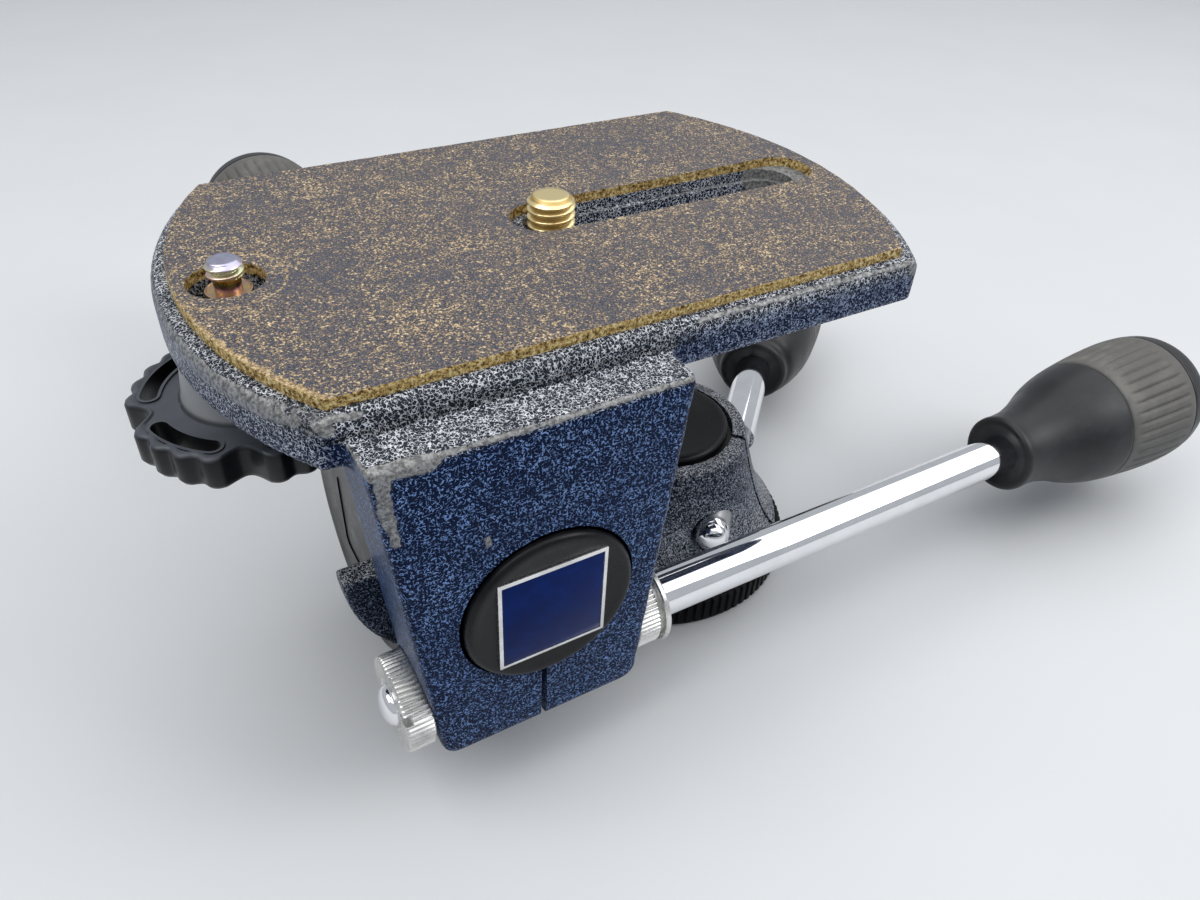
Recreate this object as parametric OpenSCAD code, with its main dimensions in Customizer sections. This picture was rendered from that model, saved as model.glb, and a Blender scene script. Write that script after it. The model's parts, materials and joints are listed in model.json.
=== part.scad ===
// Three way pan and tilt head. Millimetres, +Z up. The origin is the centre of the base
// disc's underside, at the mouth of the tripod thread. +X runs along the camera platform
// towards the long slot, and the tilt arm hangs on the -Y side.

/* [Base and pan joint] */
// Diameter of the base disc
base_d = 70; // [68:0.5:76]
// Height of the base disc
base_h = 9; // [8:0.5:12]
// Number of ribs round the base disc's edge
base_rib_count = 96; // [60:1:120]
// Nominal diameter of the tripod thread
tripod_thread_d = 9.525; // [9:0.025:10]
// Diameter of the threaded tripod bush
tripod_bush_d = 18; // [15:0.5:20]
// Diameter of the pan spindle
spindle_d = 26; // [24:0.5:27]
// Diameter of the pan spindle's foot flange
spindle_foot_d = 50; // [46:1:54]
// Height of the pan housing's top ring above the tripod face
housing_h = 38; // [36:0.5:44]
// Diameter of the pan housing's top ring
housing_ring_d = 42.6; // [41:0.2:44]
// Diameter of the pan housing's skirt
housing_skirt_d = 65.5; // [64:0.5:68]
// Visible diameter of the pan cap
pan_cap_d = 33.5; // [32:0.25:34]
// Height of the pan clamp bolt above the tripod face
pan_bolt_h = 22.5; // [21:0.25:23]
// Distance of the pan clamp bolt's line from the pan axis
pan_bolt_offset = 18; // [17.5:0.25:19]

/* [Side tilt joint] */
// Height of the side tilt axis above the tripod face
side_axis_h = 33; // [32:0.25:34]
// Diameter of the side tilt axle
side_axle_d = 24; // [20:0.5:24.5]
// Diameter of the pan housing's boss that holds the axle
side_boss_d = 42; // [38:0.5:44]
// Distance from the pan axis to the boss's end face
side_boss_reach = 36; // [35.5:0.25:37]
// Diameter of the split clamp ring round the axle
clamp_ring_d = 52; // [48:0.5:52]
// Length of the split clamp ring
clamp_ring_len = 40; // [38:0.5:42]
// Diameter of the side cap
side_cap_d = 53; // [48:0.5:54]
// Height of the side clamp bolt above the side tilt axis
side_bolt_rise = 17; // [16.8:0.1:18]

/* [Tilt joint] */
// Distance of the tilt axis from the pan axis
tilt_axis_offset = 59.6; // [58:0.2:61]
// Height of the tilt axis above the tripod face
tilt_axis_h = 53; // [52:0.25:54]
// Diameter of the tilt spigot
spigot_d = 24; // [20:0.5:25]
// Diameter of the stop flange behind the arm
flange_d = 62; // [58:0.5:64]
// Thickness of the stop flange
flange_t = 5; // [4:0.25:6]
// Height of the tilt clamp bolt above the tripod face
tilt_bolt_h = 30; // [29:0.25:31]

/* [Platform] */
// Height of the platform's top face above the tripod face
platform_h = 98.2; // [97:0.2:102]
// Depth of the platform casting
platform_t = 9.2; // [9:0.1:10]
// Length of the cork pad
pad_len = 138; // [134:1:142]
// Width of the cork pad
pad_w = 82.8; // [80:0.2:86]
// Thickness of the cork pad
pad_t = 2; // [1.5:0.1:3]
// Width of the casting's border along the cork pad's straight sides
pad_border = 2.2; // [1.5:0.1:3]
// Width of the casting's border round the cork pad's bowed ends
pad_end_border = 3.4; // [2:0.1:4]
// Radius of the pad's bowed ends
pad_end_r = 73; // [68:0.5:80]
// Distance of the platform's middle from the pan axis, towards the tilt arm
platform_offset = 34.3; // [33:0.1:36]
// Wall of the platform casting
platform_wall = 3.5; // [3:0.1:4]
// Travel of the large camera screw along its slot
large_travel = 53; // [40:1:56]
// Travel of the small camera screw each way along its slot
small_travel = 1.3; // [1:0.1:2]
// Distance from the platform's middle to the small camera screw
small_screw_reach = 60; // [58:0.1:61]
// Distance from the platform's middle to the large camera screw
large_screw_reach = 1.6; // [0:0.1:2]

/* [Tilt arm] */
// Width of the arm at its top
arm_top_w = 56.8; // [55:0.2:58]
// Width of the arm at its foot
arm_foot_w = 42.2; // [40:0.2:44]
// Thickness of the arm
arm_t = 19.5; // [18.5:0.25:21]
// Distance of the arm's front face from the pan axis
arm_front = 52.5; // [52:0.25:54]
// Height of the arm's foot above the tripod face
arm_foot_h = 20; // [19:0.1:21.5]
// Visible diameter of the front cap
front_cap_d = 33.5; // [31:0.25:34]
// Side of the square badge plate
badge_side = 21.5; // [18:0.5:22]

/* [Camera screws] */
// Thread diameter of the large camera screw
large_screw_d = 9.525; // [9:0.025:9.6]
// Thread diameter of the small camera screw
small_screw_d = 6.35; // [6:0.05:6.5]
// Height of the large screw's thread above the pad
large_screw_rise = 4.2; // [4:0.1:6]
// Height of the small screw's thread above the pad
small_screw_rise = 3.9; // [3.5:0.1:6]
// Diameter across the star knob's lobes
star_d = 43.4; // [40:0.2:44]
// Thickness of the star knob's rim
star_t = 7; // [6:0.25:7.5]
// Number of lobes on the star knob
star_lobes = 5; // [4:1:7]
// Diameter of the large screw's knob
large_knob_d = 32; // [28:0.5:33]

/* [Handles] */
// Diameter of the chrome rods
rod_d = 10; // [9:0.1:10.5]
// Diameter of the clamp bolts
bolt_d = 8; // [7.5:0.1:8]
// Bare length of the tilt handle's rod
tilt_rod_len = 110; // [90:1:130]
// Bare length of the side tilt handle's rod
side_rod_len = 52; // [38:1:80]
// Bare length of the pan handle's rod
pan_rod_len = 34; // [30:1:60]
// Length of the slim neck of the tilt and side grips
grip_neck_len = 14; // [8:1:24]
// Length of the pan grip's slim neck
pan_grip_neck_len = 4; // [3:1:24]
// Length of a grip's bell, from the neck to the band
grip_bell_len = 18; // [16:1:24]
// Greatest diameter of a grip
grip_d = 36.5; // [34:0.25:38]
// Diameter of a grip at its mouth
grip_mouth_d = 19.2; // [18:0.2:22]
// Length of a grip's ribbed band
band_len = 25; // [20:0.5:32]
// Length of a grip's rounded end
grip_end_len = 13; // [11:0.5:18]
// Number of ribs round a grip's band
band_rib_count = 48; // [36:1:72]
// Diameter of the knurled nut
nut_d = 19; // [17:0.25:20]
// Thickness of the knurled nut
nut_t = 5.4; // [4.5:0.1:6.5]
// Diameter of the knurled collar
collar_d = 17; // [15:0.25:18]

/* [Hidden] */
$fn = 64;

// Running clearance of a shaft in its bore, and of a piece seated in another
run_gap = 0.05;
// Clearance between faces that turn past each other
face_gap = 0.1;
// Clearance between curved faces that only pass near each other
pass_gap = 0.3;
// Overshoot that lets a cut leave a face cleanly
cut = 0.5;
// Step from the foot of a toothed edge in to the plain faces above and below it
edge_step = 0.25;

// Base and pan joint
bush_h = 13;
rib_depth = 0.6;
foot_t = 2.4;
thrust_t = 0.8;
spindle_foot_z = base_h;
thrust_z = spindle_foot_z + foot_t;
housing_floor_z = thrust_z + thrust_t;
skirt_rim_z = base_h + 0.6;
cap_seat_depth = 7;
cap_seat_z = housing_h - cap_seat_depth;
disc_t = 2;
spindle_top_z = cap_seat_z + pass_gap;
cap_ring_gap = 1.2;
cap_seat_r = pan_cap_d / 2 + cap_ring_gap;
screw_head_d = 10;
screw_head_t = 2.2;
screw_core_d = 6;
screw_len = 14;
base_screw_count = 3;
base_screw_ring_r = 18;
base_screw_d = 4;
base_screw_head_d = 7.5;
pan_cap_rise = 1.2;
cap_plate_t = 3;
slit_w = 1.2;

// The pan clamp bolt runs level, square to the line that joins it to the pan axis.
pan_handle_azimuth = 45;
dome_nut_reach = 20.9;
pan_flank_reach = 20;
dome_r = 3.25;
nut_spot_d = 9.5;
rod_spot_d = rod_d + 1.4;

// Side tilt joint
washer_t = 0.8;
ring_right = -(side_boss_reach + washer_t + 2 * face_gap);
ring_left = ring_right - clamp_ring_len;
ring_seat_depth = 5;
ring_seat_x = ring_left + ring_seat_depth;
side_axle_x = ring_seat_x - pass_gap;
ring_seat_d = side_axle_d + 14;
side_cap_t = 3;
side_cap_lap = 2;
recess_side = 21.5;
recess_depth = 1;
recess_corner_r = 2.5;
side_axle_root = 17;

// Tilt joint
tilt_axis_x = -tilt_axis_offset;
arm_rear_y = arm_t - arm_front;
flange_front_y = arm_rear_y + washer_t + 2 * face_gap;
flange_rear_y = flange_front_y + flange_t;
spigot_boss_d = spigot_d + 10;
spigot_inner_y = -15;
arm_seat_depth = 6.5;
arm_seat_y = -arm_front + arm_seat_depth;
spigot_end_y = arm_seat_y - pass_gap;
arm_seat_r = front_cap_d / 2 + 0.6;
front_cap_rise = 1.5;
badge_t = 0.8;
badge_inset = 0.5;
arm_slit_shift = 0.8;

// The clamp ring's ears carry the side clamp bolt, level with the tilt axis.
ear_w = 25;
ear_rear_y = 26;
ear_front_y = -20;
ear_top_z = side_axis_h + 27;
side_bolt_z = side_axis_h + side_bolt_rise;
side_bolt_tip_y = -10;
side_bolt_x = tilt_axis_x - 2;

// Tilt arm
arm_middle_top_x = tilt_axis_x - 0.9;
arm_middle_foot_x = tilt_axis_x - 0.5;
arm_top_z = platform_h - 4.5;
arm_foot_corner = 1.4;
arm_top_corner = 0.4;
arm_edge = 1.7;
tilt_bolt_y = -43;
nut_seat_x = -82.4;
collar_seat_x = -38;

// Platform
platform_x = -platform_offset;
casting_x = platform_x + 0.5;
platform_floor_t = 4.5;
platform_z = platform_h - platform_t;
pad_top_z = platform_h + pad_t;
edge_round = 2.4;
edge_draft = 0.5;
layer_t = 0.05;
large_screw_x = platform_x + large_screw_reach;
small_screw_x = platform_x - small_screw_reach;
screw_line_y = -0.6;
clip_d = 9.5;
clip_t = 3;
clip_rise = 1;
casting_slot_w = large_screw_d + 0.775;
casting_slot_extra = 0.6;
pad_slot_w = casting_slot_w + 2.7;
pad_slot_lead = 1.9;
pad_slot_extra = 4.7;
small_slot_w = clip_d + 0.4;
small_slot_half = small_slot_w / 2 + small_travel + run_gap;
pad_hole_w = clip_d + 1.9;
slot_wall = 4;
pocket_pitch = 23;
pocket_gap = 2.6;
pocket_rows = 5;

// Camera screws
washer_d = 20;
slide_washer_t = 1.2;
knob_rim_t = 6;
knob_hub_d = 18;
knob_z = platform_z - 13;
star_z = platform_z - 17.6;
hub_foot_d = 25;
hub_top_d = 21;
lobe_share = 0.36;
lobe_teeth = 4;
lobe_notch_depth = 0.9;
scoop_depth = 3.6;
star_slot_inset = 4.1;
star_slot_w = 3;
star_slot_half = 19;
undercut_d = 4.7;
thread_head_h = 3.1;
large_shank_d = large_screw_d - 1.1;
knob_floor_t = 1.5;
star_floor_t = 2;

// Handles
bolt_in_rod = 30;
rod_in_grip = 45;
band_core_r = grip_d / 2 - 3.25;
band_bell_r = grip_d / 2 - 1.45;
band_end_r = grip_d / 2 - 0.25;
band_rib_depth = 0.5;
collar_len = 5.5;
collar_groove_len = 0.9;
collar_flange_len = 1.3;
collar_flange_d = 18;
nut_slot_w = 2;
nut_slot_depth = 1.4;
knurl_depth = 0.35;
bolt_tip_rise = 2.4;

// A ring of small teeth: the outline of a knurled or ribbed edge of radius r
function toothed(r, depth, count) = [
    for (i = [0 : 2 * count - 1])
        let (a = 180 * i / count, q = r - (i % 2 == 0 ? 0 : depth))
            [q * cos(a), q * sin(a)]
];

// The star knob's outline: lobes with a few round teeth, and a scoop between each two
function star_notch(off, pitch) =
    lobe_notch_depth * (1 + cos(360 * off * lobe_teeth / (2 * lobe_share * pitch + 4))) / 2;

function star_r(a) =
    let (pitch = 360 / star_lobes, off = abs((a + pitch / 2) % pitch - pitch / 2),
         lobe_half = lobe_share * pitch, shoulder = star_notch(lobe_half, pitch),
         scoop = sin(90 * (off - lobe_half) / (pitch / 2 - lobe_half)))
    star_d / 2 - (off < lobe_half ? star_notch(off, pitch)
                                  : shoulder + (scoop_depth - shoulder) * scoop);

module along_x(x0, x1, d) {
    translate([x0, 0, 0])
        rotate([0, 90, 0])
            cylinder(d = d, h = x1 - x0);
}

module along_y(y0, y1, d) {
    translate([0, y1, 0])
        rotate([90, 0, 0])
            cylinder(d = d, h = y1 - y0);
}

module at_side_axis() {
    translate([0, 0, side_axis_h])
        children();
}

module at_tilt_axis() {
    translate([tilt_axis_x, 0, tilt_axis_h])
        children();
}

// In these three frames +X runs out along the handle from the face it leaves.
module at_tilt_handle() {
    translate([collar_seat_x, tilt_bolt_y, tilt_bolt_h])
        children();
}

module at_side_handle() {
    translate([side_bolt_x, ear_rear_y, side_bolt_z])
        rotate([0, 0, 90])
            children();
}

module at_pan_handle() {
    rotate([0, 0, pan_handle_azimuth])
        translate([pan_flank_reach, -pan_bolt_offset, pan_bolt_h])
            children();
}

module washer(inner_d, outer_d, t) {
    difference() {
        cylinder(d = outer_d, h = t);
        translate([0, 0, -cut])
            cylinder(d = inner_d, h = t + 2 * cut);
    }
}

// A disc that holds a joint together, and the cap screw through it. Both stand on z = 0.
module retaining_disc(d) {
    washer(screw_core_d + 2 * run_gap, d, disc_t);
}

module retaining_screw() {
    translate([0, 0, disc_t])
        difference() {
            cylinder(d = screw_head_d, h = screw_head_t);
            translate([0, 0, screw_head_t - 1.4])
                cylinder(d = 4.6, h = 2, $fn = 6);
        }
    translate([0, 0, disc_t - screw_len])
        cylinder(d = screw_core_d, h = screw_len);
}

// A blind hole for that screw, down from z = 0
module retaining_screw_hole() {
    translate([0, 0, disc_t - screw_len - cut])
        cylinder(d = screw_core_d + 2 * run_gap, h = screw_len - disc_t + 2 * cut);
}

// A round cap: a bevelled plate with its face at z = 0, and a plug behind it
module round_cap(face_d, plate_t, plug_d, plug_t, lap) {
    bevel = 1.2;
    difference() {
        union() {
            rotate_extrude()
                polygon([
                    [0, 0], [face_d / 2 - bevel, 0], [face_d / 2 - 0.3, -0.4],
                    [face_d / 2, -bevel], [face_d / 2, -plate_t], [0, -plate_t]
                ]);
            translate([0, 0, -plate_t - plug_t])
                cylinder(d = plug_d, h = plug_t + lap);
        }
        translate([0, 0, -plate_t - plug_t - cut])
            cylinder(d = plug_d - 3.2, h = plug_t + cut);
    }
}

// ---- Base and pan joint ----

module base_disc() {
    color([0.05, 0.05, 0.06])
        difference() {
            union() {
                translate([0, 0, 1])
                    linear_extrude(base_h - 2)
                        polygon(toothed(base_d / 2, rib_depth, base_rib_count));
                cylinder(d = base_d - 2 * (rib_depth + edge_step), h = base_h);
            }
            translate([0, 0, -cut])
                cylinder(d = tripod_bush_d + 2 * run_gap, h = base_h + 2 * cut);
            base_screw_places() {
                translate([0, 0, -cut])
                    cylinder(d = base_screw_d + 2 * run_gap, h = base_h + 2 * cut);
                translate([0, 0, -cut])
                    cylinder(d = base_screw_head_d + 2 * run_gap, h = 3 + cut);
            }
        }
}

module base_screw_places() {
    for (i = [0 : base_screw_count - 1])
        rotate([0, 0, 360 * i / base_screw_count + 30])
            translate([base_screw_ring_r, 0, 0])
                children();
}

module tripod_bush() {
    color([0.78, 0.62, 0.30])
        difference() {
            cylinder(d = tripod_bush_d, h = bush_h);
            translate([0, 0, -cut])
                cylinder(d = tripod_thread_d, h = bush_h + 2 * cut);
        }
}

module base_screws() {
    color([0.6, 0.6, 0.6])
        base_screw_places() {
            translate([0, 0, 0.4])
                cylinder(d = base_screw_head_d, h = 2.6);
            cylinder_from(3, base_h + foot_t - 0.4, base_screw_d);
        }
}

module cylinder_from(z0, z1, d) {
    translate([0, 0, z0])
        cylinder(d = d, h = z1 - z0);
}

module pan_spindle() {
    color([0.7, 0.7, 0.72])
        difference() {
            union() {
                cylinder_from(spindle_foot_z, thrust_z, spindle_foot_d);
                cylinder_from(spindle_foot_z, spindle_top_z, spindle_d);
            }
            translate([0, 0, spindle_foot_z - cut])
                cylinder(d = tripod_bush_d + 2 * run_gap, h = bush_h - base_h + cut + pass_gap);
            base_screw_places()
                cylinder_from(spindle_foot_z - cut, thrust_z - 0.2, base_screw_d + 2 * run_gap);
            translate([0, 0, spindle_top_z])
                retaining_screw_hole();
        }
}

module pan_thrust_washer() {
    color([0.9, 0.9, 0.85])
        translate([0, 0, thrust_z])
            washer(spindle_d + 2 * run_gap, spindle_foot_d - 2, thrust_t - face_gap);
}

module pan_housing() {
    ring_r = housing_ring_d / 2;
    skirt_r = housing_skirt_d / 2;
    drop = housing_h - skirt_rim_z;
    flank = skirt_r - ring_r;
    color([0.24, 0.27, 0.36])
        difference() {
            union() {
                rotate_extrude()
                    polygon([
                        [0, skirt_rim_z], [skirt_r, skirt_rim_z],
                        [skirt_r, skirt_rim_z + 0.07 * drop],
                        [skirt_r - 0.12 * flank, skirt_rim_z + 0.11 * drop],
                        [skirt_r - 0.36 * flank, skirt_rim_z + 0.25 * drop],
                        [skirt_r - 0.62 * flank, skirt_rim_z + 0.48 * drop],
                        [skirt_r - 0.83 * flank, skirt_rim_z + 0.74 * drop],
                        [ring_r + 0.6, housing_h - 1.6],
                        [ring_r, housing_h - 0.4], [ring_r - 0.4, housing_h],
                        [0, housing_h]
                    ]);
                at_side_axis()
                    along_x(-side_boss_reach, -side_axle_root, side_boss_d);
            }
            // Spindle bore, cap seat and the space above the boss
            cylinder_from(skirt_rim_z - cut, housing_h + cut, spindle_d + 2 * run_gap);
            cylinder_from(cap_seat_z, side_axis_h + side_boss_d, 2 * cap_seat_r);
            // Recess for the spindle's foot
            cylinder_from(skirt_rim_z - cut, housing_floor_z, spindle_foot_d + 2 * pass_gap);
            // Seat of the side tilt axle
            at_side_axis()
                along_x(-side_boss_reach - cut, -side_axle_root, side_axle_d + 2 * run_gap);
            rotate([0, 0, pan_handle_azimuth]) {
                // Clamp slit through the wall on the bolt's side
                translate([-slit_w / 2, -housing_skirt_d, skirt_rim_z - cut])
                    cube([slit_w, housing_skirt_d, housing_h]);
                translate([0, -pan_bolt_offset, pan_bolt_h]) {
                    along_x(-housing_skirt_d, housing_skirt_d, bolt_d + 2 * run_gap);
                    along_x(-housing_skirt_d, -dome_nut_reach + 2, nut_spot_d);
                    along_x(pan_flank_reach, housing_skirt_d, rod_spot_d);
                }
            }
        }
}

module pan_retaining_disc() {
    color([0.6, 0.6, 0.62])
        translate([0, 0, spindle_top_z])
            retaining_disc(2 * cap_seat_r - 2);
}

module pan_retaining_screw() {
    color([0.45, 0.45, 0.47])
        translate([0, 0, spindle_top_z])
            retaining_screw();
}

module pan_cap() {
    color([0.05, 0.05, 0.06])
        translate([0, 0, housing_h + pan_cap_rise])
            round_cap(pan_cap_d, cap_plate_t, 2 * (cap_seat_r - run_gap), 1.6, 0);
}

// ---- Handles: each starts at the face that it leaves and runs along +X ----

module clamp_bolt(back, tip_round) {
    along_x(-back + tip_round, bolt_in_rod, bolt_d);
    translate([-back + tip_round, 0, 0])
        rotate([0, -90, 0])
            rotate_extrude()
                polygon([
                    [0, 0], [bolt_d / 2, 0], [0.44 * bolt_d, 0.5 * tip_round],
                    [0.3 * bolt_d, 0.85 * tip_round], [0, tip_round]
                ]);
}

module handle_rod(from, bare_len) {
    difference() {
        along_x(from, bare_len + rod_in_grip, rod_d);
        along_x(from - cut, bolt_in_rod + pass_gap, bolt_d + 2 * run_gap);
    }
}

// A soft grip: a slim neck, a bell, a sunk seat for the band and a rounded end
module grip(bare_len, neck_len) {
    big_r = grip_d / 2;
    mouth_r = grip_mouth_d / 2;
    swell = big_r - mouth_r;
    band_start = neck_len + grip_bell_len;
    band_end = band_start + band_len;
    translate([bare_len, 0, 0])
        rotate([0, 90, 0])
            difference() {
                rotate_extrude()
                    polygon([
                        [0, 0], [mouth_r - 1.2, 0], [mouth_r - 0.3, 0.7], [mouth_r, 2],
                        [mouth_r + 0.18 * swell, 0.7 * neck_len + 0.6],
                        [mouth_r + 0.32 * swell, neck_len + 0.11 * grip_bell_len],
                        [mouth_r + 0.55 * swell, neck_len + 0.44 * grip_bell_len],
                        [mouth_r + 0.72 * swell, neck_len + 0.72 * grip_bell_len],
                        [band_bell_r, band_start], [band_core_r, band_start],
                        [band_core_r, band_end], [band_end_r, band_end],
                        [big_r - 1.25, band_end + 0.38 * grip_end_len],
                        [big_r - 3.75, band_end + 0.7 * grip_end_len],
                        [big_r - 7.25, band_end + 0.89 * grip_end_len],
                        [big_r - 11.25, band_end + 0.98 * grip_end_len],
                        [0, band_end + grip_end_len]
                    ]);
                translate([0, 0, -cut])
                    cylinder(d = rod_d + 2 * run_gap, h = rod_in_grip + pass_gap + cut);
            }
}

// The ribbed band: ribs show where it swells, and fade out at both ends
module grip_band(bare_len, neck_len) {
    h = band_len - 2 * run_gap;
    translate([bare_len + neck_len + grip_bell_len + run_gap, 0, 0])
        rotate([0, 90, 0])
            intersection() {
                rotate_extrude()
                    polygon([
                        [band_core_r + run_gap, 0], [band_bell_r, 0],
                        [grip_d / 2 - 0.75, 0.25 * h], [grip_d / 2 - 0.25, 0.5 * h],
                        [grip_d / 2, 0.8 * h], [band_end_r, h], [band_core_r + run_gap, h]
                    ]);
                linear_extrude(h)
                    polygon(toothed(grip_d / 2 + run_gap, band_rib_depth + run_gap, band_rib_count));
            }
}

module pan_clamp_bolt() {
    color([0.6, 0.6, 0.62])
        at_pan_handle()
            clamp_bolt(dome_nut_reach + pan_flank_reach - 2.6, 0.8);
}

module dome_nut() {
    nut_face = -dome_nut_reach - pan_flank_reach + 2;
    color([0.85, 0.85, 0.87])
        at_pan_handle()
            difference() {
                translate([nut_face, 0, 0])
                    rotate([0, -90, 0])
                        rotate_extrude()
                            polygon(concat(
                                [[0, 0], [nut_spot_d / 2 - 0.4, 0], [nut_spot_d / 2 - 0.4, 1.8]],
                                [for (i = [0 : 8])
                                    let (a = 90 * i / 8)
                                        [(dome_r + 0.8) * cos(a), 1.8 + dome_r * sin(a)]]
                            ));
                along_x(nut_face - 1.6, nut_face + cut, bolt_d + 2 * run_gap);
            }
}

module pan_handle_rod() {
    color([0.85, 0.86, 0.88])
        at_pan_handle()
            handle_rod(run_gap, pan_rod_len);
}

module pan_handle_grip() {
    color([0.07, 0.07, 0.07])
        at_pan_handle()
            grip(pan_rod_len, pan_grip_neck_len);
}

module pan_handle_band() {
    color([0.36, 0.34, 0.30])
        at_pan_handle()
            grip_band(pan_rod_len, pan_grip_neck_len);
}

// ---- Side tilt joint ----

module side_axle() {
    color([0.7, 0.7, 0.72])
        at_side_axis()
            difference() {
                along_x(side_axle_x, -side_axle_root, side_axle_d);
                translate([side_axle_x, 0, 0])
                    rotate([0, -90, 0])
                        retaining_screw_hole();
                // Rounded hollow that clears the pan spindle's disc
                translate([0, 0, cap_seat_z - side_axis_h])
                    cylinder(r = cap_seat_r + run_gap, h = side_axle_d);
            }
}

module side_friction_washer() {
    color([0.9, 0.9, 0.85])
        at_side_axis()
            translate([-side_boss_reach - face_gap, 0, 0])
                rotate([0, -90, 0])
                    washer(side_axle_d + 2 * run_gap, side_boss_d - 4, washer_t);
}

module side_retaining_disc() {
    color([0.6, 0.6, 0.62])
        at_side_axis()
            translate([side_axle_x, 0, 0])
                rotate([0, -90, 0])
                    retaining_disc(ring_seat_d - 2);
}

module side_retaining_screw() {
    color([0.45, 0.45, 0.47])
        at_side_axis()
            translate([side_axle_x, 0, 0])
                rotate([0, -90, 0])
                    retaining_screw();
}

module tilt_body() {
    color([0.24, 0.27, 0.36])
        difference() {
            union() {
                at_side_axis()
                    along_x(ring_left, ring_right, clamp_ring_d);
                translate([tilt_axis_x - ear_w / 2, ear_front_y, side_axis_h])
                    cube([ear_w, ear_rear_y - ear_front_y, ear_top_z - side_axis_h]);
                at_tilt_axis() {
                    along_y(flange_front_y, spigot_inner_y + 7, spigot_boss_d);
                    difference() {
                        along_y(flange_front_y, flange_rear_y, flange_d);
                        translate([-flange_d, flange_front_y - cut, 0])
                            cube([2 * flange_d, flange_t + 2 * cut, flange_d]);
                    }
                }
            }
            at_side_axis() {
                along_x(ring_left - cut, ring_right + cut, side_axle_d + 2 * run_gap);
                along_x(ring_left - cut, ring_seat_x, ring_seat_d);
            }
            // Clamp slit above the axle, between the ears
            translate([ring_left - cut, -slit_w / 2, side_axis_h])
                cube([clamp_ring_len + 2 * cut, slit_w, ear_top_z]);
            // Side clamp bolt
            translate([side_bolt_x, 0, side_bolt_z])
                along_y(side_bolt_tip_y - 2 * pass_gap, ear_rear_y + cut, bolt_d + 2 * run_gap);
            // Socket of the tilt spigot
            at_tilt_axis()
                along_y(flange_front_y - cut, spigot_inner_y + run_gap, spigot_d + 2 * run_gap);
        }
}

module side_cap() {
    color([0.05, 0.05, 0.06])
        at_side_axis()
            translate([ring_left - side_cap_t, 0, 0])
                rotate([0, -90, 0])
                    difference() {
                        round_cap(side_cap_d, side_cap_t - run_gap,
                                  ring_seat_d - 2 * run_gap, side_cap_lap, 0);
                        rounded_square(recess_side, recess_corner_r, recess_depth);
                    }
}

// A square recess with round corners, cut down from z = 0
module rounded_square(side, r, depth) {
    inner = side - 2 * r;
    translate([0, 0, -depth])
        linear_extrude(depth + cut) {
            square([side, inner], center = true);
            square([inner, side], center = true);
            for (x = [-1, 1], y = [-1, 1])
                translate([x * inner / 2, y * inner / 2])
                    circle(r = r);
        }
}

module side_clamp_bolt() {
    color([0.6, 0.6, 0.62])
        at_side_handle()
            clamp_bolt(ear_rear_y - side_bolt_tip_y, 0.6);
}

module side_handle_rod() {
    color([0.85, 0.86, 0.88])
        at_side_handle()
            handle_rod(run_gap, side_rod_len);
}

module side_handle_grip() {
    color([0.07, 0.07, 0.07])
        at_side_handle()
            grip(side_rod_len, grip_neck_len);
}

module side_handle_band() {
    color([0.36, 0.34, 0.30])
        at_side_handle()
            grip_band(side_rod_len, grip_neck_len);
}

// ---- Tilt joint ----

module tilt_spigot() {
    color([0.7, 0.7, 0.72])
        at_tilt_axis()
            difference() {
                along_y(spigot_end_y, spigot_inner_y, spigot_d);
                translate([0, spigot_end_y, 0])
                    rotate([90, 0, 0])
                        retaining_screw_hole();
            }
}

module tilt_friction_washer() {
    color([0.9, 0.9, 0.85])
        at_tilt_axis()
            translate([0, arm_rear_y + face_gap + washer_t, 0])
                rotate([90, 0, 0])
                    washer(spigot_d + 2 * run_gap, spigot_boss_d, washer_t);
}

module spigot_retaining_disc() {
    color([0.6, 0.6, 0.62])
        at_tilt_axis()
            translate([0, spigot_end_y, 0])
                rotate([90, 0, 0])
                    retaining_disc(front_cap_d - 3);
}

module spigot_retaining_screw() {
    color([0.45, 0.45, 0.47])
        at_tilt_axis()
            translate([0, spigot_end_y, 0])
                rotate([90, 0, 0])
                    retaining_screw();
}

// ---- Platform and its arm ----

// The pad's plan, with its straight sides moved out by side and its bowed ends by end
module bowed_plan(side, end) {
    end_shift = pad_len / 2 - pad_end_r;
    intersection() {
        square([2 * pad_len, pad_w + 2 * side], center = true);
        translate([end_shift, 0])
            circle(r = pad_end_r + end, $fn = 180);
        translate([-end_shift, 0])
            circle(r = pad_end_r + end, $fn = 180);
    }
}

// A layer of the platform casting, drawn in by inset all round
module casting_layer(z, h, inset) {
    translate([casting_x, 0, z])
        linear_extrude(h)
            bowed_plan(pad_border - inset, pad_end_border - inset);
}

// A slot with round ends from x0 to x1, given by the centres of its ends
module slot_plan(x0, x1, w) {
    translate([x0, screw_line_y])
        circle(d = w);
    translate([x1, screw_line_y])
        circle(d = w);
    translate([x0, screw_line_y - w / 2])
        square([x1 - x0, w]);
}

module large_slot(z, h, w, lead, extra) {
    translate([0, 0, z])
        linear_extrude(h)
            slot_plan(large_screw_x - lead, large_screw_x + large_travel + extra, w);
}

module small_slot(z, h, w) {
    side = small_slot_half - w / 2;
    translate([0, 0, z])
        linear_extrude(h)
            slot_plan(small_screw_x - side, small_screw_x + side, w);
}

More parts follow.
